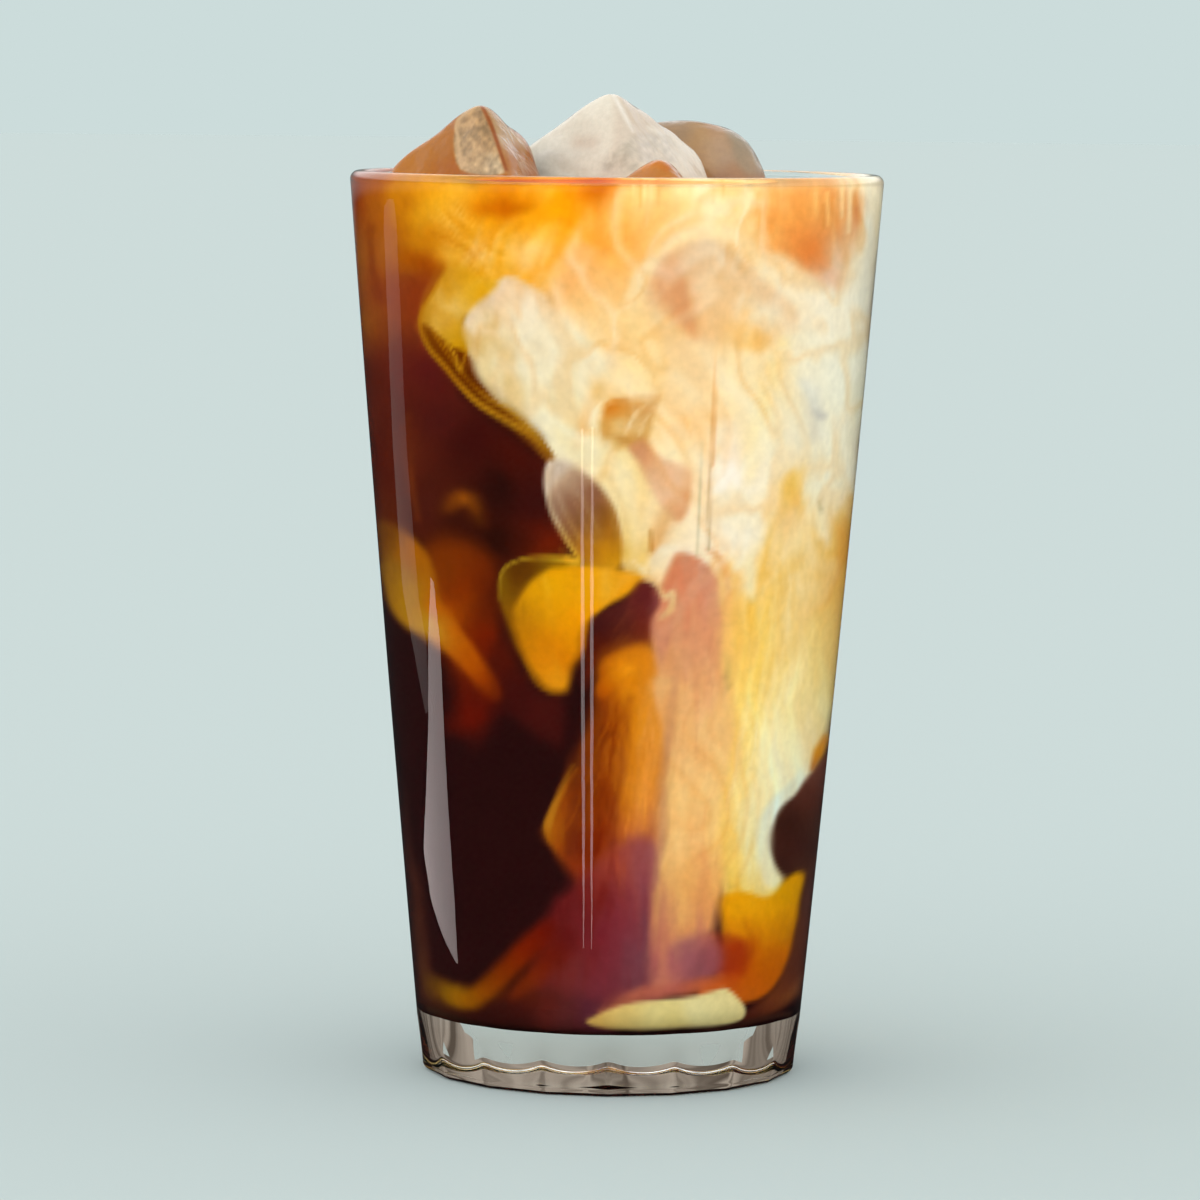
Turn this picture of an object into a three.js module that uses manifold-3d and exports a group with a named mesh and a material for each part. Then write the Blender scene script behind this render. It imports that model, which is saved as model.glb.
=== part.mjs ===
// Iced latte in a straight-sided conical tumbler: a heavy clear glass, the drink that
// fills it to just under the rim, and four pieces of ice that stand out of the drink.
// Millimetres, +Z up, origin at the centre of the glass's foot on the table.
import * as THREE from "three";
import { mergeVertices } from "three/addons/utils/BufferGeometryUtils.js";
import Module from "manifold-3d";

// Glass
const HEIGHT = 150; // table to the top of the rim
const RIM_RADIUS = 44.4; // outside radius at the rim
const FOOT_RADIUS = 31.3; // outside radius where the wall line meets the table
const WALL_BULGE = 0.3; // how far the side stands out of a straight cone at mid height
const RIM_WALL = 2.8; // wall thickness at the rim
const FLOOR_WALL = 4.2; // wall thickness at the foot
const FLOOR_HEIGHT = 10; // table to the inside floor
const FLOOR_FILLET = 5; // radius of the inside corner at the floor
const HEEL_ROUND = 1.6; // rounding of the outside bottom edge
const PUNT_RADIUS = 24; // radius of the hollow under the foot
const PUNT_DEPTH = 1.4; // depth of that hollow at its middle
const FACETS = 18; // flats pressed round the foot
const FACET_TOP = 9; // height at which the flats run out into the round wall

// Drink and ice
const DRINK_LEVEL = 148; // surface of the drink above the table
const GAP = 0.3; // clearance between pieces that touch
const ICE_STEPS = 7; // divisions along one edge of a piece of ice

// Each piece of ice: half sizes, squareness of its corners, turn in degrees, centre.
const ICE = {
  ice_left: { half: [11, 12, 7], square: 9, turn: [52, -35, 19], centre: [-24, -9.6, 145.7] },
  ice_centre: { half: [13.5, 13.5, 13.5], square: 8, turn: [57, -37.5, 17], centre: [-0.4, 3.2, 143] },
  ice_right: { half: [14, 8, 12.5], square: 2.4, turn: [-4, 6, -20], centre: [11.8, 27.6, 146] },
  ice_front: { half: [8, 8, 7], square: 5, turn: [45, -35, 20], centre: [6.4, -25.5, 142.2] },
};

// Fineness
const ROUND_STEPS = 72; // steps round the glass, four to each flat of the foot
const WALL_STEPS = 7; // steps up the side
const ARC_STEPS = 4; // steps in each small rounding
const RIM_STEPS = 6; // steps over the rim

const wasm = await Module();
wasm.setup();

// Outside radius of the glass at height z: a cone with a slight belly.
function outerRadius(z) {
  const t = z / HEIGHT;
  return FOOT_RADIUS + (RIM_RADIUS - FOOT_RADIUS) * t + WALL_BULGE * 4 * t * (1 - t);
}

// Inside radius of the glass at height z.
function innerRadius(z) {
  const wall = FLOOR_WALL + (RIM_WALL - FLOOR_WALL) * (z / HEIGHT);
  return outerRadius(z) - wall;
}

// Points of an arc from one angle to another, both ends included, as radius and height.
function arc(cx, cy, radius, from, to, steps) {
  return Array.from({ length: steps + 1 }, (_, i) => {
    const a = THREE.MathUtils.degToRad(from + ((to - from) * i) / steps);
    return new THREE.Vector2(cx + radius * Math.cos(a), cy + radius * Math.sin(a));
  });
}

// Points up a side between two heights, given its radius as a function of height.
function side(radiusAt, from, to, steps) {
  return Array.from({ length: steps + 1 }, (_, i) => {
    const z = from + ((to - from) * i) / steps;
    return new THREE.Vector2(radiusAt(z), z);
  });
}

// A closed solid turned round the vertical axis, with the seam and the poles welded.
function turned(profile) {
  const geometry = new THREE.LatheGeometry(profile, ROUND_STEPS);
  geometry.rotateX(Math.PI / 2);
  geometry.deleteAttribute("normal");
  geometry.deleteAttribute("uv");
  return mergeVertices(geometry, 1e-3);
}

// The same geometry as a solid that can be joined and cut.
function solid(geometry) {
  return new wasm.Manifold(
    new wasm.Mesh({
      numProp: 3,
      vertProperties: new Float32Array(geometry.attributes.position.array),
      triVerts: new Uint32Array(geometry.index.array),
    }),
  );
}

// A cut or joined solid as a geometry again.
function geometryOf(cut) {
  const mesh = cut.getMesh();
  const geometry = new THREE.BufferGeometry();
  geometry.setAttribute("position", new THREE.BufferAttribute(mesh.vertProperties, 3));
  geometry.setIndex(new THREE.BufferAttribute(mesh.triVerts, 1));
  geometry.computeVertexNormals();
  return geometry;
}

// Flattens the round foot to FACETS flats, most at the table and none at FACET_TOP.
function pressFacets(geometry) {
  const position = geometry.attributes.position;
  const half = Math.PI / FACETS;
  for (let i = 0; i < position.count; i++) {
    const [x, y, z] = [position.getX(i), position.getY(i), position.getZ(i)];
    const radius = Math.hypot(x, y);
    if (z < FACET_TOP && radius > PUNT_RADIUS + 1) {
      const across = Math.atan2(y, x) + 2 * Math.PI;
      const offset = ((across + half) % (2 * half)) - half;
      const flat = Math.cos(half) / Math.cos(offset);
      const k = 1 + (flat - 1) * (1 - z / FACET_TOP);
      position.setXYZ(i, x * k, y * k, z);
    }
  }
  return geometry;
}

// The tumbler: hollow under the foot, resting ring, heel, side, rounded rim, inside.
function glassGeometry() {
  const rimRound = RIM_WALL / 2;
  const rimCentre = outerRadius(HEIGHT - rimRound) - rimRound;
  const filletTop = FLOOR_HEIGHT + FLOOR_FILLET;
  const filletCentre = innerRadius(filletTop) - FLOOR_FILLET;
  const profile = [
    new THREE.Vector2(0, PUNT_DEPTH),
    new THREE.Vector2(PUNT_RADIUS * 0.55, PUNT_DEPTH * 0.75),
    new THREE.Vector2(PUNT_RADIUS, 0),
    ...arc(outerRadius(HEEL_ROUND) - HEEL_ROUND, HEEL_ROUND, HEEL_ROUND, -90, 0, ARC_STEPS),
    ...side(outerRadius, 5, FACET_TOP, 1),
    ...side(outerRadius, 20, HEIGHT - rimRound, WALL_STEPS).slice(0, -1),
    ...arc(rimCentre, HEIGHT - rimRound, rimRound, 0, 180, RIM_STEPS),
    ...side(innerRadius, HEIGHT - 8, filletTop, WALL_STEPS).slice(0, -1),
    ...arc(filletCentre, filletTop, FLOOR_FILLET, 0, -90, ARC_STEPS),
    new THREE.Vector2(0, FLOOR_HEIGHT),
  ];
  return pressFacets(turned(profile));
}

// A rounded block of ice: a cube drawn onto the surface |x|^n + |y|^n + |z|^n = 1.
function iceGeometry({ half, square }, grow) {
  const geometry = new THREE.BoxGeometry(2, 2, 2, ICE_STEPS, ICE_STEPS, ICE_STEPS);
  geometry.deleteAttribute("normal");
  geometry.deleteAttribute("uv");
  const position = geometry.attributes.position;
  for (let i = 0; i < position.count; i++) {
    const p = [position.getX(i), position.getY(i), position.getZ(i)];
    const sum = p.reduce((total, value) => total + Math.abs(value) ** square, 0);
    const k = sum ** (-1 / square);
    position.setXYZ(i, ...p.map((value, axis) => value * k * (half[axis] + grow)));
  }
  return mergeVertices(geometry, 1e-3);
}

// Where a piece of ice stands, as a matrix.
function icePlace({ turn, centre }) {
  const angles = turn.map((degrees) => THREE.MathUtils.degToRad(degrees));
  return new THREE.Matrix4()
    .makeRotationFromEuler(new THREE.Euler(...angles))
    .setPosition(...centre);
}

// The drink: fills the inside of the glass to its level, cut round the ice.
function drinkGeometry() {
  const clearRadius = (z) => innerRadius(z) - GAP;
  const filletTop = FLOOR_HEIGHT + FLOOR_FILLET;
  const filletCentre = innerRadius(filletTop) - FLOOR_FILLET;
  const profile = [
    new THREE.Vector2(0, FLOOR_HEIGHT + GAP),
    ...arc(filletCentre, filletTop, FLOOR_FILLET - GAP, -90, 0, ARC_STEPS),
    ...side(clearRadius, filletTop, DRINK_LEVEL, WALL_STEPS).slice(1),
    new THREE.Vector2(0, DRINK_LEVEL),
  ];
  let drink = solid(turned(profile));
  for (const piece of Object.values(ICE)) {
    const room = iceGeometry(piece, GAP).applyMatrix4(icePlace(piece));
    drink = drink.subtract(solid(room));
  }
  return geometryOf(drink);
}

// A named piece with its own material.
function piece(name, geometry, material) {
  const mesh = new THREE.Mesh(geometry, new THREE.MeshStandardMaterial(material));
  mesh.name = name;
  return mesh;
}

const group = new THREE.Group();
group.name = "iced_latte";
const CLEAR_GLASS = { color: 0xdfe9e8, roughness: 0.05, transparent: true, opacity: 0.35 };
const LATTE = { color: 0xc98a3c, roughness: 0.25 };
const CLEAR_ICE = { color: 0xe6cfae, roughness: 0.15, transparent: true, opacity: 0.7 };
group.add(piece("glass", glassGeometry(), CLEAR_GLASS));
group.add(piece("latte", drinkGeometry(), LATTE));
for (const [name, shape] of Object.entries(ICE)) {
  const mesh = piece(name, iceGeometry(shape, 0), CLEAR_ICE);
  mesh.applyMatrix4(icePlace(shape));
  group.add(mesh);
}

export default group;
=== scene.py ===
"""Iced latte in a conical tumbler: the glass, the drink with milk clouding into it, and its ice.

Every piece is a surface worked out in millimetres in the frame of the solids, with +Z up, the
middle of the glass's foot at the origin and the shown side towards -Y, and is scaled to metres
when its mesh is made.
"""

import logging
import math
from dataclasses import dataclass, replace
from enum import Enum
from typing import Any

import bpy
import numpy as np
from mathutils import Matrix


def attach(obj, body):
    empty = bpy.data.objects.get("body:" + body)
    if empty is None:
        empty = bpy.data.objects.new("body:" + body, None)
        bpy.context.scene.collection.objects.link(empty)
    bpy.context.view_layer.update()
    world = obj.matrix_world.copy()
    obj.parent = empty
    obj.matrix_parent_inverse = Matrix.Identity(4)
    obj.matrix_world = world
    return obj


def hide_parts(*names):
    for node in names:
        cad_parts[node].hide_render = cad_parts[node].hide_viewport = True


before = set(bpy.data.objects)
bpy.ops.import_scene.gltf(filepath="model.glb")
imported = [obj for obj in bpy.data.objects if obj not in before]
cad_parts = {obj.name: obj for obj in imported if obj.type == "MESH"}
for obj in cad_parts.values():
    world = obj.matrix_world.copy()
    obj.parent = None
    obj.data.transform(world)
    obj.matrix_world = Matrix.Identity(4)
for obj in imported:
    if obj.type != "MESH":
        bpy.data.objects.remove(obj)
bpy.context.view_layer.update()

LOG = logging.getLogger("iced_latte")
MM = 0.001
Array = np.ndarray
Point = tuple[float, float]
Tint = tuple[float, float, str]
Share = tuple[float, float, float]


# Colour and mesh helpers
def hex_rgb(code: str) -> Array:
    """An sRGB hex colour as three numbers from 0 to 1, still in sRGB."""
    return np.array([int(code[i : i + 2], 16) for i in (1, 3, 5)]) / 255.0


def to_linear(srgb: Array) -> Array:
    """sRGB values as linear light, by the standard curve."""
    low = srgb / 12.92
    high = ((srgb + 0.055) / 1.055) ** 2.4
    return np.where(srgb <= 0.04045, low, high)


def to_srgb(light: Array) -> Array:
    """Linear light as sRGB values, by the standard curve."""
    low = light * 12.92
    high = 1.055 * light ** (1 / 2.4) - 0.055
    return np.where(light <= 0.0031308, low, high)


def linear(code: str) -> tuple[float, float, float, float]:
    """An sRGB hex colour as a linear colour with full alpha, for a node's socket."""
    red, green, blue = to_linear(hex_rgb(code))
    return float(red), float(green), float(blue), 1.0


def smoothstep(low: float, high: float, value: Array) -> Array:
    """Rises smoothly from 0 at low to 1 at high."""
    t = np.clip((value - low) / (high - low), 0.0, 1.0)
    return t * t * (3.0 - 2.0 * t)


def add_node(
    tree: bpy.types.NodeTree,
    kind: str,
    values: dict[str | int, Any] | None = None,
    links: dict[str | int, bpy.types.NodeSocket] | None = None,
    **settings: Any,
) -> bpy.types.Node:
    """Adds one node to a tree.

    Args:
        tree: The node tree of a material or of the world.
        kind: Blender's name of the node's type.
        values: Input sockets, by name or number, and the constants set on them.
        links: Input sockets, by name or number, and the outputs that feed them.
        settings: The node's own properties.

    Returns:
        The new node.
    """
    node = tree.nodes.new(kind)
    for key, value in settings.items():
        setattr(node, key, value)
    for key, value in (values or {}).items():
        node.inputs[key].default_value = value
    for key, source in (links or {}).items():
        tree.links.new(source, node.inputs[key])
    return node


def new_tree(name: str) -> tuple[bpy.types.Material, bpy.types.NodeTree]:
    """A new material of that name with an empty node tree, and the tree."""
    material = bpy.data.materials.new(name)
    material.use_nodes = True
    material.node_tree.nodes.clear()
    return material, material.node_tree


def arc(centre: Point, radius: float, start: float, end: float, steps: int) -> Array:
    """Points of a circle's arc, as radius and height.

    Args:
        centre: The circle's middle.
        radius: The circle's radius.
        start: The first angle in degrees, from the outward direction.
        end: The last angle in degrees.
        steps: How many steps the arc takes.

    Returns:
        The points, both ends included.
    """
    angle = np.radians(np.linspace(start, end, steps + 1))
    return np.stack([centre[0] + radius * np.cos(angle), centre[1] + radius * np.sin(angle)], axis=1)


def mesh_piece(name: str, points: Array, faces: list[Array]) -> bpy.types.Object:
    """Makes a smooth mesh object at the origin from whole arrays.

    Args:
        name: The piece's name.
        points: Its vertices in millimetres.
        faces: Arrays of vertex numbers, one array for each number of corners.

    Returns:
        The object, linked to the scene.
    """
    mesh = bpy.data.meshes.new(name)
    mesh.vertices.add(len(points))
    mesh.vertices.foreach_set("co", (points * MM).astype(np.float32).ravel())
    corners = np.concatenate([f.ravel() for f in faces]).astype(np.int32)
    totals = np.concatenate([np.full(len(f), f.shape[1]) for f in faces]).astype(np.int32)
    starts = np.concatenate([[0], np.cumsum(totals)[:-1]]).astype(np.int32)
    mesh.loops.add(len(corners))
    mesh.loops.foreach_set("vertex_index", corners)
    mesh.polygons.add(len(totals))
    mesh.polygons.foreach_set("loop_start", starts)
    mesh.polygons.foreach_set("loop_total", totals)
    mesh.polygons.foreach_set("use_smooth", np.ones(len(totals), dtype=bool))
    mesh.update(calc_edges=True)
    mesh.validate()
    piece = bpy.data.objects.new(name, mesh)
    bpy.context.scene.collection.objects.link(piece)
    return piece


def turned_rows(profile: Array, angles: Array) -> Array:
    """A profile carried round the vertical axis.

    Args:
        profile: Radius and height of each row, without the two ends on the axis.
        angles: The angle of each column in radians, from the shown side (-Y) towards +X.

    Returns:
        The grid of points, rows by columns by three.
    """
    radius = profile[:, :1]
    across = radius * np.sin(angles)
    depth = -radius * np.cos(angles)
    return np.stack([across, depth, np.repeat(profile[:, 1:], len(angles), axis=1)], axis=2)


def turned_piece(name: str, rows: Array, low: float, high: float) -> bpy.types.Object:
    """Closes a turned grid with a pole at each end and makes it a piece.

    Args:
        name: The piece's name.
        rows: The grid from turned_rows, its first row next to the first pole.
        low: The height of the first pole, on the axis.
        high: The height of the last pole, on the axis.

    Returns:
        The object; its vertices are the grid row by row, then the two poles.
    """
    count, columns = rows.shape[:2]
    points = np.concatenate([rows.reshape(-1, 3), [[0, 0, low], [0, 0, high]]])
    first = np.arange(columns)
    after = (first + 1) % columns
    step = np.arange(count - 1)[:, None] * columns
    quads = np.stack([first + step, after + step, after + step + columns, first + step + columns],
          axis=2)
    start = count * columns
    last = (count - 1) * columns
    foot = np.stack([np.full(columns, start), after, first], axis=1)
    head = np.stack([np.full(columns, start + 1), first + last, after + last], axis=1)
    return mesh_piece(name, points, [quads.reshape(-1, 4), np.concatenate([foot, head])])


def paint_points(piece: bpy.types.Object, layer: str, srgb: Array) -> None:
    """Stores a colour for each vertex, in linear light, as a colour attribute."""
    rgba = np.concatenate([to_linear(srgb), np.ones((len(srgb), 1))], axis=1)
    attribute = piece.data.attributes.new(layer, "FLOAT_COLOR", "POINT")
    attribute.data.foreach_set("color", rgba.astype(np.float32).ravel())


# Milk clouds
class Noise:
    """Smooth random values on a plane, the same on every run."""

    SIDE = 256

    def __init__(self, seed: int) -> None:
        """Draws the table of values from a seeded source."""
        self.table = np.random.default_rng(seed).random((self.SIDE, self.SIDE)) * 2.0 - 1.0

    def value(self, x: Array, y: Array) -> Array:
        """Values from -1 to 1, blended smoothly between the whole numbers of x and y."""
        x0 = np.floor(x)
        y0 = np.floor(y)
        fx = smoothstep(0.0, 1.0, x - x0)
        fy = smoothstep(0.0, 1.0, y - y0)
        i = x0.astype(int) % self.SIDE
        j = y0.astype(int) % self.SIDE
        i1 = (i + 1) % self.SIDE
        j1 = (j + 1) % self.SIDE
        low = self.table[j, i] * (1 - fx) + self.table[j, i1] * fx
        high = self.table[j1, i] * (1 - fx) + self.table[j1, i1] * fx
        return low * (1 - fy) + high * fy

    def cloud(self, x: Array, y: Array, octaves: int = 4) -> Array:
        """A sum of finer and finer values, each half as strong as the one before."""
        total = np.zeros_like(x)
        for k in range(octaves):
            total += self.value(x * 2.0**k + 17.3 * k, y * 2.0**k + 41.7 * k) * 0.5**k
        return total


def smooth_curve(points: tuple[Point, ...], steps: int, closed: bool) -> Array:
    """A smooth line through points: on each span a cubic whose ends lean along their neighbours.

    Args:
        points: The points it passes through.
        steps: Steps in each span.
        closed: Whether the line returns to its start.

    Returns:
        Points along the line.
    """
    p = np.array(points, dtype=float)
    if closed:
        q = np.concatenate([p[-1:], p, p[:2]])
    else:
        q = np.concatenate([2 * p[:1] - p[1:2], p, 2 * p[-1:] - p[-2:-1]])
    t = np.linspace(0.0, 1.0, steps, endpoint=False)[:, None, None]
    a, b, c, d = q[:-3], q[1:-2], q[2:-1], q[3:]
    bend = (2 * a - 5 * b + 4 * c - d) * t**2 + (3 * b - a - 3 * c + d) * t**3
    line = (0.5 * (2 * b + (c - a) * t + bend)).transpose(1, 0, 2).reshape(-1, 2)
    return line if closed else np.concatenate([line, p[-1:]])


def nearest(x: Array, y: Array, line: Array) -> tuple[Array, Array, Array]:
    """How points lie to an open line.

    Args:
        x: Points across.
        y: Points down.
        line: The line's points.

    Returns:
        Distance to the line, number of the nearest span with the share along it, and side of it.
    """
    best = np.full(x.shape, 1e9)
    along = np.zeros_like(x)
    side = np.zeros_like(x)
    for k, (start, end) in enumerate(zip(line[:-1], line[1:])):
        dx, dy = end - start
        length = max(dx * dx + dy * dy, 1e-9)
        t = np.clip(((x - start[0]) * dx + (y - start[1]) * dy) / length, 0.0, 1.0)
        ex = x - start[0] - t * dx
        ey = y - start[1] - t * dy
        d = ex * ex + ey * ey
        near = d < best
        best = np.where(near, d, best)
        along = np.where(near, k + t, along)
        side = np.where(near, np.sign(dx * ey - dy * ex), side)
    return np.sqrt(best), along, side


def inside(x: Array, y: Array, line: Array) -> Array:
    """Whether points lie inside a closed line: a ray to the side crosses it an odd number of times."""
    odd = np.zeros(x.shape, dtype=bool)
    for (ax, ay), (bx, by) in zip(line, np.roll(line, -1, axis=0)):
        cross = (ay > y) != (by > y)
        at = ax + (y - ay) * (bx - ax) / (by - ay if by != ay else 1e-9)
        odd ^= cross & (x < at)
    return odd


class Flow(Enum):
    """How the drink moves in an area: cell size across and down in pixels, and how far tints drift."""

    SWIRL = (40.0, 46.0, 9.0)
    FALL = (9.0, 150.0, 8.0)
    FROST = (5.0, 5.0, 2.0)


@dataclass(frozen=True)
class Pool:
    """An area of the drink with a soft edge, its colour blended between a few tints.

    Attributes:
        name: What it is.
        outline: Points round it, in the picture's pixels.
        fill: Tints and where they are strongest.
        soft: Half width of its edge.
        opacity: How much it covers.
        streak: Strength of the fine streaks that fall through it.
        warp: How much of the common swirl bends it.
        flow: How its tints run into each other.
    """

    name: str
    outline: tuple[Point, ...]
    fill: tuple[Tint, ...]
    soft: float = 8.0
    opacity: float = 1.0
    streak: float = 0.0
    warp: float = 1.0
    flow: Flow = Flow.SWIRL

    def box(self) -> tuple[Array, Array]:
        """Corners of the area it can reach."""
        points = np.array(self.outline)
        reach = self.soft * 2.0 + 14.0
        return points.min(0) - reach, points.max(0) + reach

    def paint(self, x: Array, y: Array, noise: Noise) -> tuple[Array, Array]:
        """How much it covers points, and its colour there.

        Args:
            x: Points across.
            y: Points down.
            noise: The source of its frayed edge and its streaks.

        Returns:
            Cover from 0 to 1, and sRGB colours: tints weighted by their closeness cubed.
        """
        line = smooth_curve(self.outline, 5, True)
        distance, _, _ = nearest(x, y, np.concatenate([line, line[:1]]))
        signed = np.where(inside(x, y, line), distance, -distance)
        frayed = signed + self.soft * 0.35 * noise.cloud(x / 22.0, y / 30.0, 2)
        cover = smoothstep(-self.soft, self.soft, frayed) * self.opacity
        wide, tall, drift = self.flow.value
        u = x + drift * noise.cloud(x / wide + 11.0, y / tall, 3)
        v = y + drift * noise.cloud(x / wide, y / tall + 23.0, 3) * min(tall / wide, 3.0)
        places = np.array([(a, b) for a, b, _ in self.fill])
        tints = np.array([hex_rgb(code) for _, _, code in self.fill])
        away = (u[:, None] - places[:, 0]) ** 2 + (v[:, None] - places[:, 1]) ** 2 + 90.0
        weight = away**-1.35
        colour = (weight @ tints) / weight.sum(1, keepdims=True)
        if self.streak:
            fall = noise.cloud(x / 7.0 + y / 60.0, y / 150.0, 4)
            frost = noise.cloud(x / wide, y / tall, 3)
            grain = frost if self.flow is Flow.FROST else fall
            colour = colour * (1 + self.streak * grain)[:, None]
        return cover, colour


@dataclass(frozen=True)
class Plume:
    """A strand of the drink along a line, its width and colour changing on the way.

    Attributes:
        name: What it is.
        path: Points along it, in the picture's pixels.
        width: Half widths along it.
        tints: Colours along it.
        soft: Half width of its edge.
        opacity: How much it covers.
        threads: Share of it that breaks up into fine threads along the line, or 0 for a solid strand.
        gauge: Spacing of the threads in pixels.
        warp: How much of the common swirl bends it.
    """

    name: str
    path: tuple[Point, ...]
    width: tuple[float, ...]
    tints: tuple[str, ...]
    soft: float = 4.0
    opacity: float = 1.0
    threads: float = 0.0
    gauge: float = 4.5
    warp: float = 1.0

    def box(self) -> tuple[Array, Array]:
        """Corners of the area it can reach."""
        points = np.array(self.path)
        reach = self.soft * 2.0 + max(self.width) + 14.0
        return points.min(0) - reach, points.max(0) + reach

    def paint(self, x: Array, y: Array, noise: Noise) -> tuple[Array, Array]:
        """How much it covers points, and its colour there.

        Args:
            x: Points across.
            y: Points down.
            noise: The source of its threads.

        Returns:
            Cover from 0 to 1, and sRGB colours blended along the line.
        """
        line = smooth_curve(self.path, 6, False)
        distance, along, side = nearest(x, y, line)
        t = along / (len(line) - 1)
        half = np.interp(t, np.linspace(0, 1, len(self.width)), self.width)
        table = np.array([hex_rgb(code) for code in self.tints])
        at = np.linspace(0, 1, len(table))
        colour = np.stack([np.interp(t, at, table[:, k]) for k in range(3)], axis=1)
        cover = smoothstep(-self.soft, self.soft, half - distance) * self.opacity
        if self.threads:
            reach = np.linalg.norm(np.diff(line, axis=0), axis=1).sum()
            offset = distance * side + 3.0 * noise.cloud(x / 40.0 + 70.0, y / 40.0, 2)
            strand = noise.cloud(offset / self.gauge + 5.0, t * reach / 120.0 + reach, 3)
            ends = smoothstep(0.0, 0.15, t) * smoothstep(1.0, 0.85, t)
            cover = cover * ends * smoothstep(-0.25, 0.75, strand + self.threads - 0.4)
        return cover, colour


def milk_sheet(
    x: Array, y: Array, layers: tuple[Pool | Plume, ...], base: str, seed: int = 11, swirl: float = 1.0
) -> Array:
    """Lays pools and plumes over each other, all bent by a common swirl.

    Args:
        x: Points across, in the picture's pixels.
        y: Points down.
        layers: The pools and plumes, from the back to the front.
        base: The colour under them all.
        seed: Start of the swirl's random values.
        swirl: How strongly the swirl bends them.

    Returns:
        sRGB colours.
    """
    noise = Noise(seed)
    wide = 4.0 * noise.cloud(x / 48.0, y / 64.0, 2) + 1.2 * noise.cloud(x / 17.0 + 50, y / 24.0, 2)
    tall = 4.0 * noise.cloud(x / 48.0 + 90, y / 64.0 + 30, 2) + 1.2 * noise.cloud(x / 17.0,
          y / 24.0 + 70, 2)
    colour = np.tile(hex_rgb(base), (len(x), 1))
    for layer in layers:
        low, high = layer.box()
        u = x + wide * layer.warp * swirl
        v = y + tall * layer.warp * swirl
        near = np.nonzero((u > low[0]) & (u < high[0]) & (v > low[1]) & (v < high[1]))[0]
        if len(near):
            cover, tint = layer.paint(u[near], v[near], noise)
            colour[near] += (tint - colour[near]) * cover[:, None]
    return np.clip(colour, 0, 1)


def wisps(x: Array, y: Array, colour: Array) -> Array:
    """Adds soft folds to the milk near the top and long streaks where it falls.

    The folds are broad ridges of a bent noise, some pale and some amber. The streaks are a noise
    drawn out downwards, which changes blue most and red least.

    Args:
        x: Points across, in the picture's pixels.
        y: Points down.
        colour: sRGB colours, which decide where there is milk.

    Returns:
        The colours with the folds and streaks in them.
    """
    noise = Noise(71)
    u = x + 30.0 * noise.cloud(x / 80.0, y / 90.0, 2)
    v = y + 40.0 * noise.cloud(x / 80.0 + 40.0, y / 90.0 + 11.0, 2)
    pale = smoothstep(0.45, 1.0, 1 - np.abs(noise.cloud(u / 44.0, v / 80.0, 3)))
    amber = smoothstep(0.5, 1.0, 1 - np.abs(noise.cloud(u / 40.0 + 100.0, v / 76.0 + 50.0, 3)))
    streak = noise.cloud(u / 15.0 + 5.0, v / 190.0, 3)
    milk = smoothstep(0.42, 0.7, colour.mean(axis=1))
    low = smoothstep(540.0, 680.0, y)
    fold = (milk * (1 - low))[:, None]
    colour = colour + (hex_rgb("#FFF8EA") - colour) * 0.3 * pale[:, None] * fold
    colour = colour * (1 - np.array([0.03, 0.14, 0.3]) * 0.5 * amber[:, None] * fold)
    fall = (streak * milk * low * (1 - smoothstep(880.0, 940.0, y)))[:, None]
    return np.clip(colour * (1 + np.array([0.02, 0.07, 0.13]) * fall), 0.0, 1.0)


def warmed(code: str, share: Share) -> str:
    """A tint with only a share of its red, green and blue light, as a hex code."""
    light = to_linear(hex_rgb(code)) * np.array(share)
    red, green, blue = (round(255 * float(v)) for v in np.minimum(to_srgb(light), 1.0))
    return f"#{red:02X}{green:02X}{blue:02X}"


def warmed_layers(layers: tuple[Pool | Plume, ...], share: Share) -> tuple[Pool | Plume, ...]:
    """The same pools and plumes with all their tints warmed.

    Args:
        layers: The pools and plumes.
        share: The shares of red, green and blue light that are kept.

    Returns:
        The warmed layers, in the same order.
    """
    changed = []
    for layer in layers:
        if isinstance(layer, Pool):
            fill = tuple((x, y, warmed(code, share)) for x, y, code in layer.fill)
            changed.append(replace(layer, fill=fill))
        else:
            changed.append(replace(layer, tints=tuple(warmed(code, share) for code in layer.tints)))
    return tuple(changed)


def milk_clouds(x: Array, y: Array, layers: tuple[Pool | Plume, ...], base: str) -> Array:
    """Several thin sheets of the same clouds, each bent differently, seen through one another.

    Args:
        x: Points across, in the picture's pixels.
        y: Points down.
        layers: The pools and plumes, from the back to the front.
        base: The colour under them all.

    Returns:
        sRGB colours: the weighted mean of the sheets.
    """
    total = np.zeros((len(x), 3))
    for seed, share, swirl in ((11, 0.4, 0.7), (23, 0.25, 1.6), (37, 0.2, 2.4), (53, 0.15, 3.4)):
        total += share * milk_sheet(x, y, layers, base, seed, swirl)
    return wisps(x, y, total)


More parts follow.
